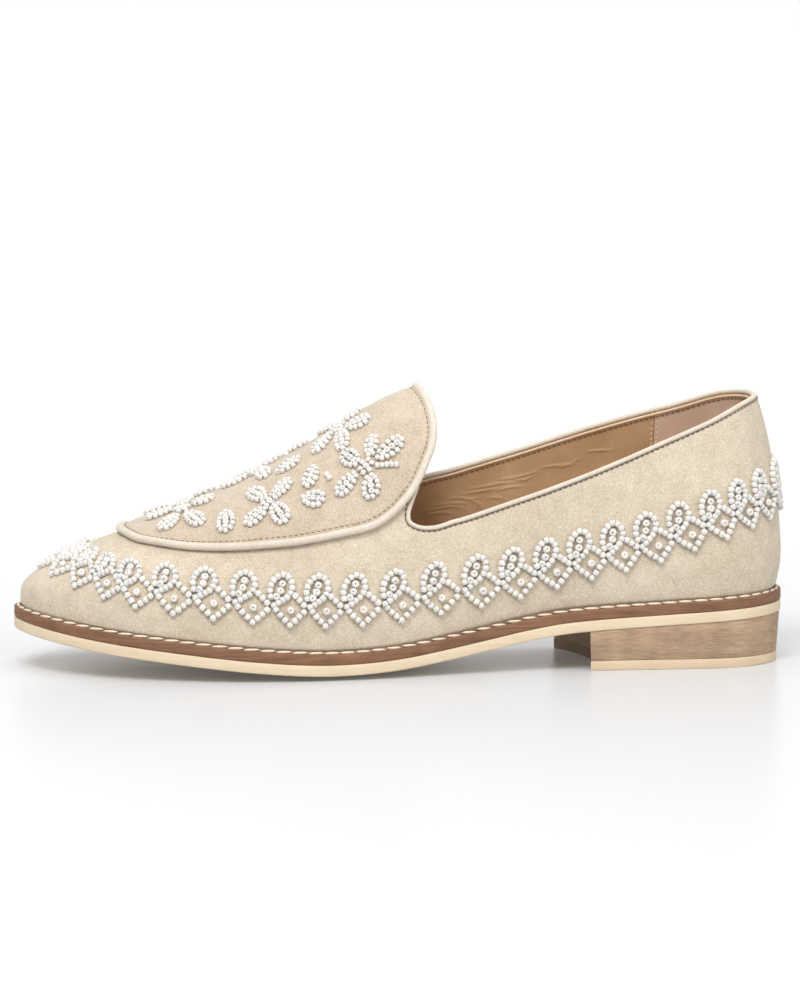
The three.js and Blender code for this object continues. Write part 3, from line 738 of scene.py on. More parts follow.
class NodeGraph(NodeTree):
    """A material's nodes."""

    def __init__(self, name: str) -> None:
        """Starts a material with its shader.

        Args:
            name: the material's name.
        """
        self.material = bpy.data.materials.new(name)
        self.material.use_nodes = True
        super().__init__(self.material.node_tree)
        self.shader = next(node for node in self.tree.nodes if node.type == "BSDF_PRINCIPLED")

    def set(self, **values: float | tuple) -> None:
        """Sets the shader's own sockets.

        Args:
            values: numbers or colours by the socket's name, with underscores for spaces.
        """
        for name, value in values.items():
            if isinstance(value, tuple):
                value = (*value, 1.0)
            self.shader.inputs[name.replace("_", " ")].default_value = value

    def coordinates(self, stretch: Colour = (1, 1, 1)) -> Socket:
        """The piece's own coordinates, scaled along each axis."""
        own = self.add("ShaderNodeTexCoord").outputs["Object"]
        return self.add("ShaderNodeMapping", Vector=own, Scale=stretch).outputs["Vector"]

    def noise(self, size: float, detail: float = 2, stretch: Colour = (1, 1, 1)) -> Socket:
        """Soft random pattern.

        Args:
            size: size of its spots in millimetres.
            detail: levels of finer spots in it.
            stretch: scale along each axis.

        Returns:
            Its value, about 0 to 1.
        """
        where = self.coordinates(stretch)
        node = self.add("ShaderNodeTexNoise", Vector=where, Scale=1 / (size * MM), Detail=detail)
        return node.outputs["Fac"]

    def range(self, value: Socket, low: float, high: float, bottom: float = 0, top: float = 1) -> Socket:
        """Stretches a span of values to another span, clamped.

        Args:
            value: the value's socket.
            low: start of the span.
            high: end of the span.
            bottom: what the start becomes.
            top: what the end becomes.

        Returns:
            The new value.
        """
        node = self.tree.nodes.new("ShaderNodeMapRange")
        self.fill(node, value, low, high, bottom, top)
        return node.outputs[0]

    def sum(self, *terms: tuple[object, float]) -> Socket:
        """Weighted sum of values.

        Args:
            terms: each value with its weight.

        Returns:
            The sum.
        """
        total: object = 0.0
        for value, weight in terms:
            node = self.tree.nodes.new("ShaderNodeMath")
            node.operation = "MULTIPLY_ADD"
            self.fill(node, value, weight, total)
            total = node.outputs[0]
        return total

    def blend(self, factor: object, first: object, second: object) -> Socket:
        """Colour between two colours.

        Args:
            factor: 0 for the first, 1 for the second.
            first: a colour or a socket.
            second: a colour or a socket.

        Returns:
            The colour.
        """
        node = self.tree.nodes.new("ShaderNodeMix")
        node.data_type = "RGBA"
        for place, value in ((0, factor), (6, first), (7, second)):
            self.feed(node.inputs[place], (*value, 1.0) if isinstance(value, tuple) else value)
        return node.outputs[2]

    def attribute(self, name: str) -> Socket:
        """A number stored on the mesh.

        Args:
            name: the attribute's name.

        Returns:
            The number.
        """
        node = self.tree.nodes.new("ShaderNodeAttribute")
        node.attribute_name = name
        return node.outputs["Fac"]

    def colour(self, socket: Socket) -> None:
        """Joins the base colour."""
        self.feed(self.shader.inputs["Base Color"], socket)

    def roughness(self, socket: Socket) -> None:
        """Joins the roughness."""
        self.feed(self.shader.inputs["Roughness"], socket)

    def bump(self, height: Socket, depth: float) -> None:
        """Joins a relief of a depth in millimetres."""
        node = self.add("ShaderNodeBump", Height=height, Distance=depth * MM, Strength=1.0)
        self.feed(self.shader.inputs["Normal"], node.outputs["Normal"])


@dataclass(frozen=True)
class Suede:
    """Napped leather: brushed patches, fine specks and a soft sheen."""

    name: str
    light: Colour
    dark: Colour
    nap: float = 0.16
    sheen: float = 0.18

    def build(self) -> Material:
        """Builds the nodes.

        Returns:
            The material.
        """
        graph = NodeGraph(self.name)
        patches, brushed = graph.noise(26, 2), graph.noise(4.5, 3)
        specks, fibres = graph.noise(0.62, 3), graph.noise(0.3, 2)
        shade = graph.sum((patches, 0.35), (brushed, 0.35), (specks, 0.85), (fibres, 0.6))
        graph.colour(graph.blend(graph.range(shade, 0.78, 1.36), self.dark, self.light))
        graph.bump(graph.sum((specks, 0.7), (fibres, 0.3)), self.nap)
        graph.set(Roughness=0.95, Specular_IOR_Level=0.15, Sheen_Weight=self.sheen, Sheen_Roughness=0.5)
        return graph.material


@dataclass(frozen=True)
class Leather:
    """Smooth leather with pores and uneven dye."""

    name: str
    light: Colour
    dark: Colour
    gloss: float = 0.5
    pore: float = 0.05

    def build(self) -> Material:
        """Builds the nodes.

        Returns:
            The material.
        """
        graph = NodeGraph(self.name)
        cloud, pores = graph.noise(14, 3), graph.noise(0.55, 2)
        shade = graph.sum((cloud, 0.8), (pores, 0.35))
        graph.colour(graph.blend(graph.range(shade, 0.35, 0.8), self.dark, self.light))
        graph.roughness(graph.range(pores, 0.3, 0.7, self.gloss, self.gloss + 0.15))
        graph.bump(pores, self.pore)
        return graph.material


@dataclass(frozen=True)
class LeatherEdge:
    """Cut edge of sole leather, with fine lines along it, darker where the mesh marks painted shade."""

    name: str
    light: Colour
    dark: Colour
    line: float = 0.45
    gloss: float = 0.55
    streak: float = 30
    # Colour of the painted shade, blended in where the mesh marks it.
    shade_colour: Colour = srgb(150, 124, 98)

    def build(self) -> Material:
        """Builds the nodes.

        Returns:
            The material.
        """
        graph = NodeGraph(self.name)
        # Painted shade: faces that the mesh marks get the darker shade colour.
        painted_shade = graph.attribute("painted_shade")
        flat = (1 / self.streak, 1 / self.streak, 1.0)
        lines, broad = graph.noise(self.line, 3, flat), graph.noise(1.6, 2, flat)
        stains = graph.noise(9, 3)
        shade = graph.sum((lines, 0.65), (broad, 0.25), (stains, 0.45))
        edge = graph.blend(graph.range(shade, 0.45, 0.9), self.dark, self.light)
        graph.colour(graph.blend(painted_shade, edge, self.shade_colour))
        graph.roughness(graph.range(stains, 0.3, 0.7, self.gloss, self.gloss + 0.15))
        graph.bump(lines, 0.06)
        return graph.material


@dataclass(frozen=True)
class Pearl:
    """Glazed bead, warm or cool from bead to bead."""

    name: str
    warm: Colour
    cool: Colour

    def build(self) -> Material:
        """Builds the nodes.

        Returns:
            The material.
        """
        graph = NodeGraph(self.name)
        graph.colour(graph.blend(graph.attribute("tint"), self.warm, self.cool))
        graph.set(Roughness=0.22, Coat_Weight=0.6, Coat_Roughness=0.08, Specular_IOR_Level=0.6)
        graph.set(Subsurface_Weight=0.7, Subsurface_Scale=1.3 * MM)
        graph.shader.inputs["Subsurface Radius"].default_value = (1.0, 1.0, 0.9)
        return graph.material


@dataclass(frozen=True)
class Thread:
    """Waxed sewing thread with its twist."""

    name: str
    light: Colour
    dark: Colour

    def build(self) -> Material:
        """Builds the nodes.

        Returns:
            The material.
        """
        graph = NodeGraph(self.name)
        twist = graph.noise(0.35, 1)
        graph.colour(graph.blend(graph.range(twist, 0.3, 0.7), self.dark, self.light))
        graph.bump(twist, 0.04)
        graph.set(Roughness=0.6)
        return graph.material


@dataclass(frozen=True)
class Paper:
    """White studio paper that glows, weakly near the shoe and more towards the back where it rises: painted
    light, not a lamp.
    """

    name: str
    shade: Colour
    glow: tuple[float, float]

    def build(self) -> Material:
        """Builds the nodes.

        Returns:
            The material.
        """
        graph = NodeGraph(self.name)
        depth = graph.add("ShaderNodeSeparateXYZ", Vector=graph.coordinates()).outputs["Y"]
        # Painted light: the paper's own glow rises with depth towards the back.
        graph.feed(graph.shader.inputs["Emission Strength"], graph.range(depth, -0.05, -1.2, *self.glow))
        graph.set(Base_Color=self.shade, Emission_Color=(1.0, 1.0, 1.0))
        graph.set(Roughness=0.28, Specular_IOR_Level=0.1)
        return graph.material


@dataclass(frozen=True)
class Finishes:
    """All finishes of the shoe."""

    suede: Suede = Suede("suede", srgb(224, 211, 191), srgb(182, 166, 143))
    apron_suede: Suede = Suede("apron_suede", srgb(216, 201, 180), srgb(172, 154, 131), sheen=0.5)
    pale_suede: Suede = Suede("pale_suede", srgb(226, 216, 202), srgb(202, 190, 172), 0.06)
    lining: Leather = Leather("lining_leather", srgb(204, 169, 129), srgb(180, 142, 102))
    # Paler copy of the lining leather for the lining's fold: painted highlight on the fold's top.
    lining_fold_highlight: Leather = Leather("lining_edge_leather", srgb(228, 200, 166), srgb(212, 180, 144))
    heel_lining: Leather = Leather("heel_lining_leather", srgb(226, 199, 177), srgb(198, 167, 143))
    natural: LeatherEdge = LeatherEdge("natural_leather", srgb(229, 211, 182), srgb(216, 195, 163))
    # A darker copy of the natural leather, used on the heel's top piece.
    darker_natural: LeatherEdge = LeatherEdge("darker_natural_leather", srgb(224, 203, 174), srgb(206, 182, 150))
    brown: LeatherEdge = LeatherEdge("brown_leather", srgb(149, 107, 77), srgb(97, 65, 45))
    stack: LeatherEdge = LeatherEdge(
        "stacked_leather", srgb(196, 168, 139), srgb(138, 112, 86), line=0.3, streak=14
    )
    pearl: Pearl = Pearl("pearl_beads", srgb(229, 223, 214), srgb(220, 217, 213))
    pale_thread: Thread = Thread("pale_thread", srgb(240, 228, 208), srgb(218, 200, 174))
    seam_thread: Thread = Thread("seam_thread", srgb(240, 220, 192), srgb(216, 190, 158))
    tan_thread: Thread = Thread("tan_thread", srgb(150, 126, 98), srgb(116, 96, 72))
    # Dark thread for the collar's stitches and the lining's row; on the lining's row the darkness is partly
    # painted shade.
    dark_thread: Thread = Thread("dark_thread", srgb(112, 90, 68), srgb(76, 60, 44))


# Repeated things


class InstanceTree(NodeTree):
    """A geometry tree that sets one shape at many places."""

    def __init__(self, name: str) -> None:
        """Starts a tree with a geometry input and output.

        Args:
            name: the tree's name.
        """
        super().__init__(bpy.data.node_groups.new(name, "GeometryNodeTree"))
        self.sockets: dict[str, str] = {}
        self.input("Geometry", "NodeSocketGeometry")
        self.tree.interface.new_socket("Geometry", in_out="OUTPUT", socket_type="NodeSocketGeometry")
        self.start = self.tree.nodes.new("NodeGroupInput")
        self.end = self.tree.nodes.new("NodeGroupOutput")

    def input(self, name: str, kind: str) -> None:
        """Adds a named input and keeps its identifier."""
        made = self.tree.interface.new_socket(name, in_out="INPUT", socket_type=kind)
        self.sockets[name] = made.identifier

    def given(self, name: str) -> Socket:
        """The tree's own input of that name."""
        return self.start.outputs[name]

    def stored(self, name: str, kind: str) -> Socket:
        """A value stored on the points.

        Args:
            name: the attribute's name.
            kind: its data type.

        Returns:
            The value.
        """
        node = self.add("GeometryNodeInputNamedAttribute", Name=name)
        node.data_type = kind
        return node.outputs["Attribute"]

    def vector(self, x: object, y: object, z: object) -> Socket:
        """A vector from three numbers or sockets."""
        return self.add("ShaderNodeCombineXYZ", X=x, Y=y, Z=z).outputs["Vector"]

    def turned(self, first: str, first_way: object, second: str, second_way: object) -> Socket:
        """Rotation that lays two of a shape's axes along two directions.

        Args:
            first: the axis that follows its direction exactly.
            first_way: that direction.
            second: the axis that follows as nearly as it can.
            second_way: its direction.

        Returns:
            The rotation.
        """
        node = self.add("FunctionNodeAxesToRotation", Primary_Axis=first_way, Secondary_Axis=second_way)
        node.primary_axis, node.secondary_axis = first, second
        return node.outputs["Rotation"]

    def finish(self, points: object, shape: object, rotation: object, scale: object) -> None:
        """Sets the shape at the points, makes it real and gives it the material.

        Args:
            points: where the shape goes.
            shape: the shape's geometry.
            rotation: how it is turned.
            scale: its size at each point.
        """
        placed = self.add(
            "GeometryNodeInstanceOnPoints", Points=points, Instance=shape, Rotation=rotation, Scale=scale
        ).outputs["Instances"]
        real = self.add("GeometryNodeRealizeInstances", Geometry=placed).outputs["Geometry"]
        smoothed = self.add("GeometryNodeSetShadeSmooth", Geometry=real).outputs["Geometry"]
        done = self.add("GeometryNodeSetMaterial", Geometry=smoothed, Material=self.given("Material"))
        self.tree.links.new(done.outputs["Geometry"], self.end.inputs[0])

    def run(self, piece: Piece, **values: object) -> Piece:
        """Runs the tree on a piece and keeps the result as a plain mesh.

        Args:
            piece: the object that carries the points or the path.
            values: the tree's inputs, with underscores for spaces.

        Returns:
            The same object.
        """
        modifier = piece.modifiers.new(self.tree.name, "NODES")
        modifier.node_group = self.tree
        for name, value in values.items():
            modifier[self.sockets[name.replace("_", " ")]] = value
        bake(piece)
        return piece


class BeadTree(InstanceTree):
    """Beads on points, each with its hole along the thread."""

    def __init__(self) -> None:
        """Builds the tree."""
        super().__init__("bead_work")
        for name in ("Hole Radius", "Glass Radius", "Stretch"):
            self.input(name, "NodeSocketFloat")
        self.input("Material", "NodeSocketMaterial")
        ring, section = (
            self.add("GeometryNodeCurvePrimitiveCircle", Resolution=corners, Radius=self.given(name))
            for corners, name in ((7, "Hole Radius"), (8, "Glass Radius"))
        )
        bead = self.add(
            "GeometryNodeCurveToMesh", Curve=ring.outputs["Curve"], Profile_Curve=section.outputs["Curve"]
        ).outputs["Mesh"]
        stretch = self.vector(1.0, 1.0, self.given("Stretch"))
        long = self.add("GeometryNodeTransform", Geometry=bead, Scale=stretch)
        heading, facing = self.stored("heading", "FLOAT_VECTOR"), self.stored("facing", "FLOAT_VECTOR")
        size = self.stored("size", "FLOAT")
        turn = self.turned("Z", heading, "X", facing)
        self.finish(self.given("Geometry"), long.outputs["Geometry"], turn, self.vector(size, size, size))


@dataclass(frozen=True)
class Stitch:
    """One kind of stitch: its thread, its sizes in millimetres and its slant in radians."""

    thread: Thread
    pitch: float
    length: float
    width: float
    height: float
    slant: float = 0.0


class StitchTree(InstanceTree):
    """Stitches at an even pitch along a path."""

    def __init__(self) -> None:
        """Builds the tree."""
        super().__init__("stitch_row")
        for name in ("Pitch", "Length", "Width", "Height", "Slant"):
            self.input(name, "NodeSocketFloat")
        self.input("Material", "NodeSocketMaterial")
        path = self.add("GeometryNodeMeshToCurve", Mesh=self.given("Geometry"))
        even = self.add("GeometryNodeResampleCurve", Curve=path.outputs["Curve"])
        even.mode = "LENGTH"
        self.tree.links.new(self.given("Pitch"), even.inputs["Length"])
        thread = self.add("GeometryNodeMeshUVSphere", Segments=8, Rings=6, Radius=0.5)
        size = self.vector(self.given("Length"), self.given("Width"), self.given("Height"))
        sized = self.add("GeometryNodeTransform", Geometry=thread.outputs["Mesh"], Scale=size)
        slant = self.vector(0.0, 0.0, self.given("Slant"))
        slanted = self.add("GeometryNodeTransform", Geometry=sized.outputs["Geometry"], Rotation=slant)
        run = self.add("GeometryNodeInputTangent").outputs["Tangent"]
        turn = self.turned("Z", self.stored("facing", "FLOAT_VECTOR"), "X", run)
        self.finish(even.outputs["Curve"], slanted.outputs["Geometry"], turn, (1.0, 1.0, 1.0))

    def sew(
        self, stitch: Stitch, name: str, slot: str, path: Points, facing: Points, closed: bool = False
    ) -> None:
        """Sews a row of stitches along a path and settles it.

        Args:
            stitch: the kind of stitch.
            name: the row's name.
            slot: the record's material slot.
            path: points of the path in millimetres.
            facing: direction away from the shoe at each point.
            closed: whether the path's end joins its start.
        """
        row = point_object(name, path, closed, facing=facing)
        self.run(
            row, Pitch=stitch.pitch * MM, Length=stitch.length * MM, Width=stitch.width * MM,
            Height=stitch.height * MM, Slant=stitch.slant, Material=material(stitch.thread),
        )
        settle(row, slot)


def point_object(name: str, points: Points, closed: bool | None = None, **values: Points) -> Piece:
    """An object of loose points or of one path, with values stored on its points.

    Args:
        name: the piece's name.
        points: points in millimetres.
        closed: None for loose points, or whether the path's end joins its start.
        values: numbers or vectors for each point.

    Returns:
        The object.
    """
    count = len(points)
    edges = [] if closed is None else [(i, (i + 1) % count) for i in range(count if closed else count - 1)]
    mesh = bpy.data.meshes.new(name)
    mesh.from_pydata(LAST.place(points).tolist(), edges, [])
    for key, numbers in values.items():
        numbers = np.asarray(numbers, np.float32)
        kind, part = ("FLOAT", "value") if numbers.ndim == 1 else ("FLOAT_VECTOR", "vector")
        mesh.attributes.new(key, kind, "POINT").data.foreach_set(part, numbers.ravel())
    return add_object(name, mesh)


# Sole


@dataclass
class Sole:
    """Outsole, welt and footbed: plates that share the sole's outline.

    Lengths are in millimetres; outsole_fill and insole_lift are shares of the last's gap.
    """

    finishes: Finishes
    round_off: float = 0.55
    outsole_fill: float = 0.9
    insole: float = 3.0
    insole_inset: float = 2.6
    insole_lift: float = 0.3
    lining: float = 0.6
    ribs: tuple[int, int, int] = (40, 110, 60)
    steps: int = 16

    def plate(self, name: str, base: float, top: float, crown: bool, insets: tuple[float, float]) -> Piece:
        """One plate with rounded edges.

        Args:
            name: the piece's name.
            base: height of its lower edge over the sole's line.
            top: height of its upper edge over the sole's line.
            crown: whether its underside bulges down to the floor.
            insets: how far its lower and upper edges stand in from the sole's outline.

        Returns:
            The plate.
        """
        x = LAST.stations(*self.ribs)
        across = 0.5 - 0.5 * np.cos(spread(self.steps, 0, math.pi))
        corner = self.round_off * np.array([[1.0, 0.0], [0.5, 0.13], [0.13, 0.5], [0.0, 1.0]])
        medial = [(inset, 1.0, base + rise) for inset, rise in corner[1:]]
        medial += [(inset, 1.0, top - rise) for inset, rise in corner[:0:-1]]
        lateral = [(inset, 0.0, height) for inset, _, height in medial[::-1]]
        spots = [(self.round_off, t, base) for t in across] + medial
        spots += [(self.round_off, t, top) for t in across[::-1]] + lateral
        columns = []
        for inset, t, height in spots:
            share = (height - base) / (top - base)
            inside = inset + insets[0] + (insets[1] - insets[0]) * share
            (near_x, near_y), (far_x, far_y) = (LAST.sole_edge(x, sign, inside) for sign in (1, -1))
            plan_x, plan_y = near_x + (far_x - near_x) * t, near_y + (far_y - near_y) * t
            z = SOLE_LINE.along("edge", plan_x) + height
            if crown and height == base:
                bulge = SOLE_LINE.along("crown", plan_x) * (1 - (2 * t - 1) ** 2)
                z = np.maximum(0, z - bulge)
            columns.append(np.stack([plan_x, plan_y, z], -1))
        return loft(name, np.stack(columns, 1), sharp=50)

    def build(self) -> None:
        """Builds and dresses the plates."""
        top = LAST.outsole + LAST.gap * self.outsole_fill
        outsole = self.plate("outsole_plate", 0, top, True, (0, 0))
        settle(outsole, "natural_leather", "outsole", finish=self.finishes.natural)
        welt = self.plate("welt_strip", LAST.outsole + LAST.gap, LAST.sole, False, (0, 0))
        settle(welt, "brown_leather", "welt", finish=self.finishes.brown)
        base = LAST.sole + LAST.gap * self.insole_lift
        inset = LAST.wall + self.lining + self.insole_inset
        footbed = self.plate("footbed", base, base + self.insole, False, (inset, inset))
        settle(footbed, "lining_leather", "insole", finish=self.finishes.lining)


@dataclass
class Heel:
    """Stacked heel block and the wearing layer under it, hollowed at the front.

    Lengths are in millimetres; stack_lift is a share of the last's gap, bevel a share of round_off, and
    breast_facing the least forward slope of a face that counts as the breast, which gets painted shade.
    """

    finishes: Finishes
    inset: float = 0.4
    taper: float = 0.9
    top_piece: float = 3.4
    breast: float = 66.5
    breast_radius: float = 67.5
    breast_skew: float = 6
    reach: float = 24
    round_off: float = 0.35
    bevel: float = 0.3
    stack_lift: float = 0.2
    bore: float = 40
    breast_facing: float = 0.6

    def block(self, name: str, base: float, top: float | None, insets: tuple[float, float]) -> Piece:
        """A layer of the heel.

        Args:
            name: the piece's name.
            base: height of its underside.
            top: height of its top, or None to meet the outsole.
            insets: how far its lower and upper edges stand in from the sole's outline.

        Returns:
            The layer.
        """
        heel = 48
        straight = spread(60, LAST.heel_round, self.breast + self.reach)[1:]
        x = np.concatenate([LAST.stations(heel, 2, 2)[: heel + 1], straight])
        soft, cut = self.round_off, self.round_off * self.bevel
        corner = ((soft, 0.0), (cut, cut), (0.0, soft))
        profile = [(inset, rise, False) for inset, rise in corner]
        profile += [(inset, -rise, True) for inset, rise in corner[::-1]]
        rings = []
        for sign in (1, -1):
            side = []
            for inset, rise, upper in profile:
                edge_x, edge_y = LAST.sole_edge(x, sign, inset + insets[1 if upper else 0])
                if upper and top is None:
                    level = SOLE_LINE.along("edge", edge_x)
                else:
                    level = np.full_like(edge_x, top if upper else base)
                side.append(np.stack([edge_x, edge_y, level + rise], -1))
            rings.append(side if sign > 0 else side[::-1])
        columns = np.stack([*rings[0], *rings[1]], 1)
        end = np.repeat(columns[-1].mean(0)[None, None], columns.shape[1], 1)
        layer = loft(name, np.concatenate([columns, end]), sharp=50)
        turn = circle(256)
        round_x = self.breast + self.breast_radius * (1 + np.cos(turn))
        round_y = self.breast_skew + self.breast_radius * np.sin(turn)
        bores = [np.stack([round_x, round_y, np.full_like(turn, z)], -1) for z in (-self.bore, self.bore)]
        subtract(layer, loft("breast_cutter", np.stack(bores), capped=True), 30)
        return layer

    def build(self) -> None:
        """Builds and dresses both layers."""
        lower = self.inset + self.taper
        base = self.top_piece + LAST.gap * self.stack_lift
        stack = self.block("heel_block", base, None, (lower, self.inset))
        settle(stack, "stacked_leather", "heel_stack", finish=self.finishes.stack)
        piece = self.block("heel_wear_layer", 0.0, self.top_piece, (lower, lower))
        # Painted shade: faces of the wearing layer that face forward, on the breast, are marked to be drawn
        # darker.
        painted_shade = [float(face.normal.x > self.breast_facing) for face in piece.data.polygons]
        piece.data.attributes.new("painted_shade", "FLOAT", "FACE").data.foreach_set("value", painted_shade)
        settle(piece, "natural_leather", "heel_top_piece", finish=self.finishes.darker_natural)


# Upper


@dataclass
class Opening:
    """The collar and throat, cut out of whatever is made over the last."""

    reach: float = 1.75
    back: float = -30
    sky: float = 170
    over: tuple[float, float] = (2, 6)

    def outline(self, side: Side) -> Points:
        """Side view of the opening: along the collar, round the throat, up the tongue and over the top.

        Args:
            side: which side.

        Returns:
            X and Z of each corner.
        """
        x = spread(150, self.back, COLLAR_END)[:-1]
        collar = np.stack([x, TOPLINE.along(side.column, x)], 1)
        turn = LAST.throat_curve(side, spread(180, 0, THROAT_KNOTS))
        front, tip = turn[-1] + self.over
        above = np.array([[front, tip], [front, self.sky], [self.back, self.sky]])
        return np.concatenate([collar, turn, above])

    def cutter(self) -> Piece:
        """What is taken out of a wall.

        Returns:
            A prism ruled between the outlines of the two sides.
        """
        lateral, medial = self.outline(Side.LATERAL), self.outline(Side.MEDIAL)
        rings = []
        for sign in (1, -1):
            place = lateral + (medial - lateral) * (1 - sign * self.reach) / 2
            y = np.full(len(place), sign * self.reach * LAST.topline_reach)
            rings.append(np.stack([place[:, 0], y, place[:, 1]], 1))
        size = len(lateral)
        faces = loft_faces(2, size).tolist() + [list(range(size))[::-1], list(range(size, 2 * size))]
        return build_mesh("opening_cutter", np.concatenate(rings), faces)


@dataclass
class Upper:
    """Vamp and quarters in one wall, with the lining that shows inside."""

    finishes: Finishes
    stitches: StitchTree
    below: float = 0.9
    groove: float = 0.8
    groove_height: float = 1.3
    heel_seam: float = 38.1
    seam_gap: float = 0.25
    seam_foot: float = 0.05
    seam_rows: tuple = (("front", 0.95), ("back", -0.85))
    stitch: Stitch = Stitch(Finishes.seam_thread, pitch=1.9, length=1.35, width=0.45, height=0.4)
    lining: float = 0.6
    lining_overlap: float = 0.1
    lining_front: float = 232
    wrinkled_front: float = 124
    wrinkled_angles: tuple[float, float] = (146, 160)
    wrinkle_height: float = 0.26
    wrinkle_width: float = 0.5
    wrinkle_ends: tuple[float, float] = (0.06, 0.94)
    foot: tuple = (0, 0.15, 0.3, 0.5, 0.75, 1.1)
    foot_end: float = 0.03

    @property
    def lining_depth(self) -> float:
        """How far the lining's outer face lies in from the outside of the wall."""
        return LAST.wall - self.lining_overlap

    def faces(self, x: Points, angle: Points, outer: float, inner: float) -> tuple[Points, Points]:
        """Both faces of the wall between two depths.

        Args:
            x: stations of its ribs.
            angle: angles up each rib.
            outer: depth of its outer face.
            inner: depth of its inner face.

        Returns:
            Points of the outer and of the inner face.
        """
        return tuple(LAST.skin(x[:, None], angle[None, :], depth) for depth in (outer, inner))

    def outward(self, x: Points, angle: Points) -> Points:
        """Outward directions over all angles of all ribs."""
        return LAST.normal(np.repeat(x[:, None], len(angle), 1), angle[None, :])

    def close(self, name: str, outer: Points, inner: Points) -> Piece:
        """One closed wall from its two faces, cut at the opening.

        Args:
            name: the piece's name.
            outer: points of the outer face.
            inner: points of the inner face.

        Returns:
            The wall.
        """
        wall = loft(name, np.concatenate([outer, inner[:, ::-1]], 1), sharp=60)
        shape = bmesh.new()
        shape.from_mesh(wall.data)
        bmesh.ops.holes_fill(shape, edges=[edge for edge in shape.edges if edge.is_boundary])
        bmesh.ops.recalc_face_normals(shape, faces=shape.faces)
        shape.to_mesh(wall.data)
        shape.free()
        subtract(wall, Opening().cutter(), 40)
        return wall

    def suede(self) -> Piece:
        """Builds the outer wall.

        Returns:
            The wall, drawn in where it meets the welt.
        """
        x = LAST.stations(36, 110, 60)
        foot = np.radians(self.foot)
        wall = spread(150, self.foot_end, math.pi - self.foot_end)
        angle = np.concatenate([foot, wall, math.pi - foot[::-1]])
        outer, inner = self.faces(x, angle, 0, LAST.wall)
        rise = outer[..., 2:] - outer[:, :1, 2:]
        notch = self.groove * np.clip(1 - rise / self.groove_height, 0, 1) ** 2
        outer = outer - self.outward(x, angle) * notch
        for face in (outer, inner):
            face[:, [0, -1], 2] -= self.below
        return self.close("upper_suede", outer, inner)

    def wrinkles(self, x: Points, angle: Points) -> Points:
        """Height of the lining's wrinkles over its inner face.

        Args:
            x: stations.
            angle: angles.

        Returns:
            Millimetres for each place.
        """
        steps = 30
        height = np.zeros(np.broadcast_shapes(x.shape, angle.shape))
        places = np.stack([WRINKLES["x"], np.radians(WRINKLES["angle"])], 1)
        for number in np.unique(WRINKLES["wrinkle"]):
            knots = places[WRINKLES["wrinkle"] == number]
            path = spline(knots, spread(steps, 0, len(knots) - 1))
            run, climb = LAST.scales(*path.mean(0))
            away = np.hypot((x[..., None] - path[:, 0]) * run, (angle[..., None] - path[:, 1]) * climb)
            fade = np.sin(math.pi * np.clip(away.argmin(-1) / steps, *self.wrinkle_ends)) ** 0.6
            ridge = np.exp(-((away.min(-1) / self.wrinkle_width) ** 2))
            height = np.maximum(height, self.wrinkle_height * ridge * fade)
        return height

    def lining_part(self, name: str, x: Points, degrees: Points) -> Piece:
        """One part of the lining, with its wrinkles.

        Args:
            name: the piece's name.
            x: stations of its ribs.
            degrees: angles up each rib.

        Returns:
            The part.
        """
        angle, depth = np.radians(degrees), self.lining_depth
        outer, inner = self.faces(x, angle, depth, depth + self.lining)
        height = self.wrinkles(x[:, None], angle[None, :])
        return self.close(name, outer, inner - self.outward(x, angle) * height[..., None])

    def seam(self, side: Side) -> None:
        """Sews both rows of stitches along the seam between the lining's two parts.

        Args:
            side: which side of the shoe.
        """
        depth = self.lining_depth + self.lining
        foot = self.seam_foot if side is Side.LATERAL else math.pi - self.seam_foot
        for place, offset in self.seam_rows:
            x = np.full(1, self.heel_seam + offset)
            top = float(LAST.angle_at_height(x, side.value, None, depth)[0])
            angle = np.linspace(top, foot, 60)
            name = f"seam_stitches_{side.column}_{place}"
            inward = -LAST.normal(x + 0 * angle, angle)
            self.stitches.sew(self.stitch, name, "lining_leather", LAST.skin(x, angle, depth), inward)

    def build(self) -> None:
        """Builds and dresses the wall and its lining."""
        settle(self.suede(), "suede", "upper", finish=self.finishes.suede)
        crowded = spread(60, 0, 1) ** 1.6 * self.heel_seam
        heel = self.lining_part("heel_lining", crowded, spread(110, 0, 180))
        settle(heel, "lining_leather", finish=self.finishes.heel_lining)
        seam, middle = self.heel_seam + self.seam_gap, self.wrinkled_front
        x = np.concatenate([spread(130, seam, middle)[:-1], spread(44, middle, self.lining_front)])
        low, high = self.wrinkled_angles
        fine = [spread(50, 0, low)[:-1], spread(80, low, high)[:-1], spread(12, high, 180)]
        quarter = self.lining_part("quarter_lining", x, np.concatenate(fine))
        settle(quarter, "lining_leather", finish=self.finishes.lining)
        for side in Side:
            self.seam(side)


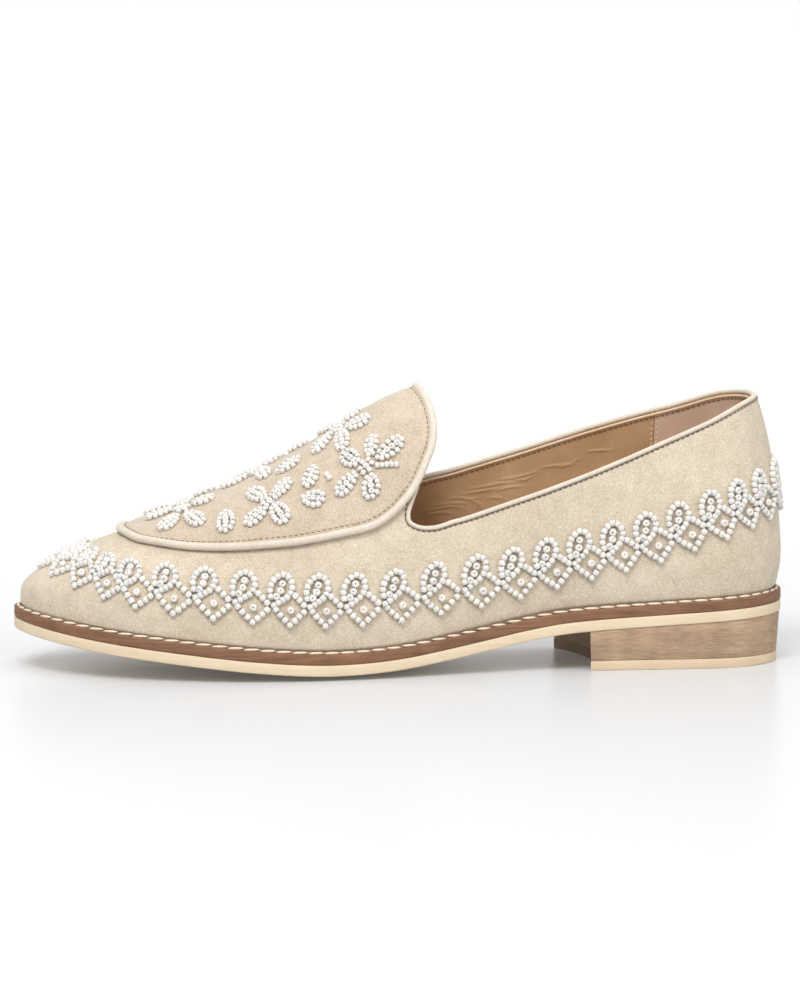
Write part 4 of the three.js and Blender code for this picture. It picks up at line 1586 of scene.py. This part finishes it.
@dataclass
class Apron:
    """Raised panel over the instep, its tongue and the piping round both."""

    finishes: Finishes
    stitches: StitchTree
    lift: float = 0.35
    thickness: float = 1.6
    centre_x: float = 165
    ridge_power: float = 16
    piping: float = 1.3
    piping_gap: float = -0.2
    piping_sink: float = 0.1
    stitch: Stitch = Stitch(Finishes.tan_thread, pitch=1.95, length=1.45, width=0.36, height=0.34)
    stitch_inset: float = 1.0
    stitch_sink: float = 0.15
    corner: tuple = ((0.0, 0.6), (0.12, 0.3), (0.35, 0.12))
    channel: tuple = ((-0.4, 0.1), (-0.2, 0.18), (0.0, 0.22), (0.2, 0.16), (0.4, 0.06), (0.8, 0.0))

    @property
    def height(self) -> float:
        """How far the panel's face stands over the upper at its rim."""
        return self.lift + self.thickness

    def face(self, x: Points, angle: Points) -> Points:
        """How far the panel's face stands over the upper, with the padding along the ridge."""
        return self.height + PADDING.along("height", x) * np.sin(angle) ** self.ridge_power

    def rim(self, steps: int) -> tuple[Points, Points]:
        """The panel's edge, once round from its nose.

        Args:
            steps: steps on each side.

        Returns:
            Stations and angles.
        """
        places = spread(steps, 0, len(APRON_RIM["x"]) - 1)
        knots = [np.stack([APRON_RIM["x"], side.angles(APRON_RIM[side.column])], 1) for side in Side]
        lateral, medial = (spline(each, places) for each in knots)
        loop = np.concatenate([lateral, medial[::-1][1:-1]])
        return loop[:, 0], loop[:, 1]

    def inward(self, x: Points, angle: Points, inset: Points | float) -> tuple[Points, Points]:
        """Places a distance in from the rim, towards the panel's middle.

        Args:
            x: stations of the rim.
            angle: angles of the rim.
            inset: the distance.

        Returns:
            Stations and angles.
        """
        run, climb = LAST.scales(x, angle)
        span = np.hypot((x - self.centre_x) * run, (angle - HALF_PI) * climb)
        return self.drawn(x, angle, 1 - np.minimum(inset / span, 1))

    def drawn(self, x: Points, angle: Points, share: Points | float) -> tuple[Points, Points]:
        """A ring of places drawn in towards the panel's middle: 1 is the ring itself, 0 the middle."""
        return self.centre_x + (x - self.centre_x) * share, HALF_PI + (angle - HALF_PI) * share

    def panel(self) -> Piece:
        """Builds the panel.

        Returns:
            The panel, with a rounded rim and a shallow channel under its stitches.
        """
        x, angle = self.rim(150)
        low, top, middle = self.lift, self.height, self.stitch_inset
        edge = [(0.0, low)] + [(inset, top - drop) for inset, drop in self.corner]
        edge += [(middle + run, top - drop) for run, drop in self.channel]
        inner = self.inward(x, angle, edge[-1][0])
        rings = [LAST.skin(*self.drawn(x, angle, share), -low) for share in spread(30, 0, 1)[:-1]]
        rings += [LAST.skin(*self.inward(x, angle, inset), -lift) for inset, lift in edge]
        for share in spread(30, 1, 0)[1:]:
            places = self.drawn(*inner, share)
            rings.append(LAST.skin(*places, -self.face(*places)))
        return loft("apron_panel", np.stack(rings), sharp=60)

    def cord(self) -> Piece:
        """Builds the piping.

        Returns:
            A covered cord that lies along the rim.
        """
        x, angle = self.rim(170)
        points = LAST.skin(x, angle, self.piping_sink - self.lift - self.piping)
        run = unit(np.roll(points, -1, 0) - np.roll(points, 1, 0))
        up = LAST.normal(np.clip(x, LAST.heel_fan, LAST.toe_fan - 1), angle)
        outward = unit(np.cross(run, up))
        away = points - LAST.skin(self.centre_x, HALF_PI)
        outward *= np.where(np.sum(outward * away, 1) < 0, -1, 1)[:, None]
        centre = points + outward * (self.piping + self.piping_gap)
        turn = circle(14)
        rings = centre[:, None] + self.piping * (
            outward[:, None] * np.cos(turn)[None, :, None] + up[:, None] * np.sin(turn)[None, :, None]
        )
        return loft("apron_cord", rings, path_closed=True, sharp=80)

    def build(self) -> None:
        """Builds and dresses panel, piping and stitches."""
        settle(self.panel(), "suede", "apron", finish=self.finishes.apron_suede)
        settle(self.cord(), "pale_suede", "apron_piping", finish=self.finishes.pale_suede)
        places = self.inward(*self.rim(170), self.stitch_inset)
        path = LAST.skin(*places, -self.height + self.stitch_sink)
        self.stitches.sew(self.stitch, "apron_stitches", "suede", path, LAST.normal(*places), True)


@dataclass
class Binding:
    """Rolled strip on the collar's cut edge, with the lining's fold and the stitches under it; the dark row
    under the fold is partly painted shade.
    """

    finishes: Finishes
    stitches: StitchTree
    width: float = 2.1
    height: float = 1.65
    lift: float = 0.98
    power: float = 0.9
    stitch: Stitch = Stitch(Finishes.dark_thread, pitch=1.9, length=1.6, width=0.36, height=0.34)
    stitch_drop: float = 0.25
    stitch_lift: float = 0.02
    throat_end: float = 5.6
    collar_front: float = 117
    least_x: float = 0.5
    fold_radius: float = 0.45
    fold_drop: float = 0.25
    fold_depth: float = 1.4
    lining_drop: float = 1.35
    lining_depth: float = 1.52

    def side(self, side: Side) -> tuple[Points, Points]:
        """One side of the cut edge, from the throat to the heel's back.

        Args:
            side: which side.

        Returns:
            Stations and angles halfway through the wall.
        """
        middle = LAST.wall / 2
        throat_x, throat = LAST.throat_edge(side, spread(50, self.throat_end, 0), middle)
        waist = spread(90, self.collar_front, LAST.heel_fan)
        heel = LAST.heel_fan * (1 - np.cos(spread(40, HALF_PI, 0)))[1:]
        collar_x = np.concatenate([waist, heel])
        collar = LAST.angle_at_height(collar_x, side.value, None, middle)
        return np.concatenate([throat_x, collar_x]), np.concatenate([throat, collar])

    def edge(self) -> tuple[Points, Points]:
        """The whole cut edge, from the lateral throat round the heel to the medial one."""
        near, far = self.side(Side.LATERAL), self.side(Side.MEDIAL)
        return tuple(np.concatenate([a, b[::-1][1:]]) for a, b in zip(near, far))

    def frames(self) -> tuple[Points, Points, Points]:
        """Directions along the cut edge.

        Returns:
            Middle, outward direction and upward direction at each place.
        """
        x, angle = self.edge()
        points = LAST.skin(x, angle, LAST.wall / 2)
        run = unit(np.gradient(points, axis=0))
        out = LAST.normal(np.maximum(x, self.least_x), angle)
        out = unit(out - run * np.sum(out * run, 1, keepdims=True))
        up = np.cross(out, run)
        heel = int(np.argmin(x))
        return points, out, up * (1 if up[heel, 2] > 0 else -1)

    def roll(
        self, name: str, centre: Points, out: Points, up: Points, size: tuple[float, float]
    ) -> Piece:
        """A roll along the edge.

        Args:
            name: the piece's name.
            centre: its middle line.
            out: outward direction along it.
            up: upward direction along it.
            size: its width and height.

        Returns:
            The roll.
        """
        turn = circle(18)
        bow, rise = (np.sign(wave) * np.abs(wave) ** self.power for wave in (np.cos(turn), np.sin(turn)))
        sideways = out[:, None] * bow[None, :, None] * size[0] / 2
        rings = sideways + up[:, None] * rise[None, :, None] * size[1] / 2
        return loft(name, centre[:, None] + rings, capped=True, sharp=80)

    def build(self) -> None:
        """Builds and dresses the strip, the lining's fold and both rows of stitches; the inner row's dark
        thread is partly painted shade under the fold.
        """
        points, out, up = self.frames()
        strip = self.roll("collar_binding", points + up * self.lift, out, up, (self.width, self.height))
        settle(strip, "pale_suede", "topline_binding", finish=self.finishes.pale_suede)
        inner = points - out * self.fold_depth - up * self.fold_drop
        fold = self.roll("lining_fold", inner, out, up, (2 * self.fold_radius,) * 2)
        # The fold is drawn paler than the lining: painted highlight.
        settle(fold, "lining_leather", finish=self.finishes.lining_fold_highlight)
        outside = points - up * self.stitch_drop + out * (LAST.wall / 2 + self.stitch_lift)
        self.stitches.sew(self.stitch, "collar_stitches", "suede", outside, out)
        # Dark stitches just under the lining's fold: real stitches, and partly painted shade for the shadow
        # line beneath the fold.
        inside = points - up * self.lining_drop - out * self.lining_depth
        self.stitches.sew(self.stitch, "lining_stitches", "lining_leather", inside, -out)


@dataclass
class WeltStitching:
    """Row of long slanted stitches on top of the welt."""

    stitches: StitchTree
    stitch: Stitch = Stitch(Finishes.pale_thread, 5.4, length=5.6, width=1.0, height=0.95, slant=0.05)
    inset: float = 1.35
    lift: float = 0.25

    def build(self) -> None:
        """Builds and dresses the row."""
        x = LAST.stations(40, 120, 60)
        sides = [np.stack(LAST.sole_edge(x, sign, self.inset), 1) for sign in (1, -1)]
        plan = np.concatenate([sides[0], sides[1][::-1][1:-1]])
        z = SOLE_LINE.along("edge", plan[:, 0]) + LAST.sole + self.lift
        upward = np.tile((0.0, 0.0, 1.0), (len(plan), 1))
        path = np.column_stack([plan, z])
        self.stitches.sew(self.stitch, "welt_stitches", "brown_leather", path, upward, True)


# Beadwork


@dataclass
class Beadwork:
    """Sewn beads: a border round the upper, flowers and single petals on the apron."""

    finishes: Finishes
    apron: Apron
    radius: float = 1.24
    hole: float = 0.66
    stretch: float = 1.78
    pearl_scale: float = 1.16
    petal_bead: float = 1.1
    petal_pitch: float = 1.88
    petal_row_inset: float = 1.9
    petal_row_fill: float = 0.8
    petal_seed: int = 20
    taper: float = 0.22
    sink: float = 0.66
    inner_scale: float = 1.14
    tilt: float = 0.2
    sizes: tuple[float, float] = (0.94, 1.05)
    lone_heading: Colour = (0.0, 0.3, 1.0)
    centre_ring: float = 2.15
    even_units: int = 26
    unit_length: float = 12.3
    border_height: float = 17.6
    tip_lift: float = 0.6
    seed: int = 7
    point: tuple = ((-4.5, 4.8), (-3.1, 3.1), (-1.55, 1.6), (0, 0), (1.7, 1.45), (3.3, 2.95), (4.85, 4.45))
    left_roof: tuple = ((-5.2, 6.1), (-3.7, 7.1), (-2.2, 8.1), (-0.8, 9.1))
    right_roof: tuple = ((2.0, 9.7), (3.5, 8.3), (4.9, 6.8))
    loop: tuple = (
        (-6.2, 8.9), (-6.4, 10.9), (-6.0, 12.8), (-5.1, 14.5), (-3.7, 15.8),
        (-1.9, 16.5), (-0.2, 15.8), (0.8, 14.2), (1.0, 12.3), (0.4, 10.6),
    )
    loop_middle: tuple = ((-2.3, 13.5), (-3.0, 11.1), (-4.3, 9.1))
    diamond_pearl: tuple = ((0.35, 4.9),)
    tree: BeadTree = field(default_factory=BeadTree)

    def path(self) -> tuple[Points, Points, Points]:
        """The middle of the border once round the shoe, from the toe along the lateral side.

        Returns:
            Distance travelled, station and side of each place.
        """
        x = LAST.stations(40, 90, 60)
        stations = np.concatenate([x[::-1], x[1:]])
        sign = np.concatenate([np.ones(len(x)), -np.ones(len(x) - 1)])
        middle = BORDER.along("low", stations) + self.border_height / 2
        points = LAST.skin(stations, LAST.angle_at(stations, sign, middle))
        return travelled(points), stations, sign

    def border_places(self, chain: Points, stretched: bool = True) -> tuple[Points, Points]:
        """Where one chain of the border's unit lies in every unit, turned with the border's slope.

        Args:
            chain: beads of the chain, along the border and up the wall from the tip.
            stretched: whether the chain may grow with a long unit.

        Returns:
            Stations and angles, unit by unit.
        """
        travel, stations, sign = self.path()
        total = travel[-1]
        rest = spread(self.even_units, BORDER_POINTS[-1], total + BORDER_POINTS[0])[1:-1]
        tips = np.concatenate([BORDER_POINTS, rest])[:, None]
        after = np.diff(tips, axis=0, append=tips[:1] + total)
        growth = np.where(chain[:, 0] > 0, after, np.roll(after, 1, 0)) / self.unit_length
        run = tips + chain[:, 0] * (growth if stretched else np.minimum(growth, 1))
        slope = np.arctan(np.gradient(BORDER.along("low", stations), travel))
        lean = np.interp(tips % total, travel, slope)
        where = (run - chain[:, 1] * np.sin(lean)).ravel() % total
        x = np.interp(where, travel, stations)
        side = np.where(where <= travel[np.argmax(sign < 0) - 1], 1.0, -1.0)
        base = BORDER.along("low", np.interp(run.ravel() % total, travel, stations))
        up = base + self.tip_lift + (chain[:, 1] * np.cos(lean)).ravel()
        return x, LAST.angle_at(x, side, up)

    def string(
        self, x: Points, angle: Points, chain: int, lift: Points | float,
        closed: bool = False, scale: float = 1, upright: bool = False,
    ) -> dict[str, Points]:
        """Beads of equal chains on the shoe.

        Args:
            x: stations.
            angle: angles.
            chain: beads in each chain.
            lift: height of the beads' middles over the outer face of the upper.
            closed: whether each chain is a ring.
            scale: size of the beads against the others of the piece.
            upright: whether the beads' holes point away from the shoe.

        Returns:
            Points, facing, heading and size of each bead.
        """
        points = LAST.skin(x, angle, -lift)
        links = points.reshape(-1, chain, 3)
        if closed:
            run = np.roll(links, -1, 1) - np.roll(links, 1, 1)
        elif chain > 1:
            run = np.gradient(links, axis=1)
        else:
            run = np.tile(self.lone_heading, (len(links), 1, 1))
        heading, facing = unit(run.reshape(-1, 3)), LAST.normal(x, angle)
        if upright:
            heading, facing = facing, heading
        size = np.full(len(points), float(scale))
        return {"points": points, "facing": facing, "heading": heading, "size": size}

    def sew(self, name: str, strings: list[dict[str, Points]], radius: float, seed: int) -> Piece:
        """Turns strings of beads into one piece.

        Args:
            name: the piece's name.
            strings: what string returns.
            radius: radius of the beads.
            seed: start of the random sizes, tilts and tints.

        Returns:
            The piece.
        """
        merged = {key: np.concatenate([string[key] for string in strings]) for key in strings[0]}
        chance = np.random.default_rng(self.seed + seed)
        count = len(merged["points"])
        tilted = unit(merged["heading"] + chance.normal(0, self.tilt, (count, 3)))
        size = merged["size"] * chance.uniform(*self.sizes, count) * radius / self.radius
        cloud = point_object(
            name, merged["points"], None, facing=merged["facing"], heading=tilted, size=size,
            tint=chance.uniform(0, 1, count),
        )
        glass = self.radius - self.hole
        return self.tree.run(
            cloud, Hole_Radius=self.hole * MM, Glass_Radius=glass * MM, Stretch=self.stretch,
            Material=material(self.finishes.pearl),
        )

    def border(self) -> None:
        """Builds and dresses the border."""
        strings = []
        lift = self.radius * self.sink
        for chain in (self.point, self.left_roof, self.right_roof, self.loop):
            chart = np.array(chain, float)
            places = self.border_places(chart, chain is not self.loop)
            strings.append(self.string(*places, len(chart), lift))
        for chain, scale in ((self.loop_middle, self.inner_scale), (self.diamond_pearl, self.pearl_scale)):
            chart = np.array(chain, float)
            places = self.border_places(chart, False)
            strings.append(self.string(*places, len(chart), lift, scale=scale, upright=True))
        settle(self.sew("border_beads", strings, self.radius, 0), "pearl_beads", "bead_border")

    def petal_charts(self, length: float, width: float) -> list[tuple[Points, bool]]:
        """Beads of one petal: a ring that narrows towards the flower, with a row inside it.

        Args:
            length: length over the beads.
            width: width over the beads; a narrow petal is a single row.

        Returns:
            Places along and across the petal for each string, and whether it is a ring.
        """
        long, wide = length - 2 * self.petal_bead, width - 2 * self.petal_bead
        narrow = wide < self.petal_pitch
        inner = long if narrow else long - self.petal_row_inset * self.petal_pitch
        count = max(1, round(inner / self.petal_pitch + self.petal_row_fill))
        step = min(self.petal_pitch, inner / max(1, count - 1)) if narrow else self.petal_pitch
        row = np.stack([(np.arange(count) - (count - 1) / 2) * step, np.zeros(count)], 1)
        if narrow:
            return [(row, False)]
        turn = spread(240, 0, 2 * math.pi)
        across = wide / 2 * np.sin(turn) * (1 + self.taper * np.cos(turn))
        outline = np.stack([long / 2 * np.cos(turn), across], 1)
        travel = travelled(outline)
        where = spread(round(travel[-1] / self.petal_pitch), 0, travel[-1])[:-1]
        ring = np.stack([np.interp(where, travel, outline[:, k]) for k in (0, 1)], 1)
        return [(ring, True), (row, False)]

    def around(self, row: dict[str, float], along: Points, up: Points) -> tuple[Points, Points]:
        """Places on the apron at distances from the middle of a petal or flower.

        Args:
            row: the row of the table that gives the middle.
            along: distances towards the toe.
            up: distances up the rib.

        Returns:
            Stations and angles.
        """
        angle = math.radians(row["angle"])
        run, climb = (float(scale) for scale in LAST.scales(row["x"], angle))
        return row["x"] + along / run, angle + up / climb

    def petal(self, row: dict[str, float]) -> list[dict[str, Points]]:
        """Strings the beads of one petal.

        Args:
            row: its row of the table.

        Returns:
            Its strings.
        """
        bearing = math.radians(row["turn"])
        strings = []
        for chart, closed in self.petal_charts(row["length"], row["width"]):
            along = chart[:, 0] * math.cos(bearing) - chart[:, 1] * math.sin(bearing)
            up = chart[:, 0] * math.sin(bearing) + chart[:, 1] * math.cos(bearing)
            inner = not closed and row["width"] > 4 * self.petal_bead
            scale = self.inner_scale if inner else 1
            places = self.around(row, along, up)
            lift = self.apron.face(*places) + self.petal_bead * self.sink
            strings.append(self.string(*places, len(chart), lift, closed, scale, inner))
        return strings

    def flower_middle(self, row: dict[str, float]) -> list[dict[str, Points]]:
        """Strings the beads of a flower's middle: one bead with a ring of beads round it.

        Args:
            row: the flower's row of the table.

        Returns:
            Both strings.
        """
        turn = circle(6)
        ring = self.around(row, self.centre_ring * np.cos(turn), self.centre_ring * np.sin(turn))
        place = self.around(row, np.zeros(1), np.zeros(1))
        lift = float(self.apron.face(*place)[0]) + self.petal_bead * self.sink
        middle = self.string(*place, 1, lift, scale=self.inner_scale, upright=True)
        return [middle, self.string(*ring, len(turn), lift, True)]

    def build(self) -> None:
        """Builds all beadwork."""
        self.border()
        rows = PETALS.rows()
        for number, middle in enumerate(FLOWERS.rows(), 1):
            strings = self.flower_middle(middle)
            for row in rows:
                strings += self.petal(row) if row["flower"] == number else []
            flower = self.sew(f"flower_beads_{number}", strings, self.petal_bead, number)
            settle(flower, "pearl_beads", f"bead_flower_{number}")
        for number, row in enumerate((row for row in rows if row["flower"] == 0), 1):
            seed = self.petal_seed + number
            single = self.sew(f"petal_beads_{number}", self.petal(row), self.petal_bead, seed)
            settle(single, "pearl_beads", f"bead_petal_{number}")


# Studio


@dataclass
class Studio:
    """Pale floor that sweeps up behind the shoe, soft lights and the camera."""

    yaw: float = 6.5
    elevation: float = 6.4
    distance: float = 1.3
    target: Colour = (0.0005, 0.0, 0.045)
    aim: Colour = (0.0007, 0.0, 0.056)
    lens: float = 135.97
    sensor: float = 36
    clip: tuple[float, float] = (0.05, 50)
    # Paper colour, and its glow near the shoe and at the back; the glow is painted light.
    paper: Paper = Paper("studio_white", (0.645, 0.652, 0.665), (0.05, 0.56))
    floor_front: float = 3.0
    floor_back: float = -2.6
    floor_side: float = 5.0
    bend: float = 1.2
    wall_top: float = 5.0
    air: float = 0.45
    lit: Colour = (0, 0, 0.05)
    lamps: tuple = (
        ("key_lamp", (0.45, 1.15, 1.5), 0.9, 28),
        ("fill_lamp", (-1.3, 1.1, 0.9), 1.2, 9),
        ("top_lamp", (0.1, -0.3, 1.7), 1.2, 7),
    )

    def point(self, item: Piece, place: Points | Colour, way: Points | Vector) -> None:
        """Puts a camera or lamp at a place, facing along a direction."""
        item.location = place
        item.rotation_euler = Vector(way).to_track_quat("-Z", "Y").to_euler()

    def camera(self) -> None:
        """Sets up the camera."""
        yaw, rise = math.radians(self.yaw), math.radians(self.elevation)
        back = np.array([math.sin(yaw) * math.cos(rise), math.cos(yaw) * math.cos(rise), math.sin(rise)])
        place = np.array(self.target) + back * self.distance
        data = bpy.data.cameras.new("camera")
        data.sensor_fit, data.sensor_width, data.sensor_height = "VERTICAL", self.sensor, self.sensor
        data.lens = self.lens
        data.clip_start, data.clip_end = self.clip
        eye = add_object("camera", data)
        self.point(eye, place, np.array(self.aim) - place)
        bpy.context.scene.camera = eye

    def floor(self) -> None:
        """Lays the floor and its sweep."""
        bend, back = self.bend, self.floor_back
        turn = spread(24, 0, HALF_PI)
        y = np.concatenate([[self.floor_front], back - bend * np.sin(turn), [back - bend]])
        z = np.concatenate([[0.0], bend * (1 - np.cos(turn)), [self.wall_top]])
        sides = (-self.floor_side, self.floor_side)
        rings = np.array([[(side, a, b) for a, b in zip(y, z)] for side in sides])
        mesh = bpy.data.meshes.new("studio_floor")
        mesh.from_pydata(rings.reshape(-1, 3).tolist(), [], loft_faces(2, len(y), False).tolist())
        mesh.shade_smooth()
        floor = add_object("studio_floor", mesh)
        dress(floor, self.paper)

    def light(self, name: str, place: Colour, size: float, power: float) -> None:
        """Hangs one square lamp that faces the shoe.

        Args:
            name: the lamp's name.
            place: where it hangs.
            size: length of its sides.
            power: its power in watts.
        """
        data = bpy.data.lights.new(name, "AREA")
        data.size, data.energy = size, power
        self.point(add_object(name, data), place, Vector(self.lit) - Vector(place))

    def build(self) -> None:
        """Builds the studio."""
        scene = bpy.context.scene
        scene.view_settings.view_transform = "Standard"
        world = bpy.data.worlds.new("studio_air")
        world.use_nodes = True
        air = next(node for node in world.node_tree.nodes if node.type == "BACKGROUND")
        air.inputs["Color"].default_value = (1, 1, 1, 1)
        air.inputs["Strength"].default_value = self.air
        scene.world = world
        self.floor()
        for lamp in self.lamps:
            self.light(*lamp)
        self.camera()
        log.info("studio: floor, %d lamps, camera", len(self.lamps))


def main() -> None:
    """Builds the shoe and the studio in order."""
    logging.basicConfig(level=logging.INFO, format="%(name)s %(message)s")
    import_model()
    finishes = Finishes()
    stitches = StitchTree()
    Studio().build()
    Sole(finishes).build()
    Heel(finishes).build()
    Upper(finishes, stitches).build()
    apron = Apron(finishes, stitches)
    apron.build()
    Binding(finishes, stitches).build()
    WeltStitching(stitches).build()
    Beadwork(finishes, apron).build()


if __name__ == "__main__":
    main()
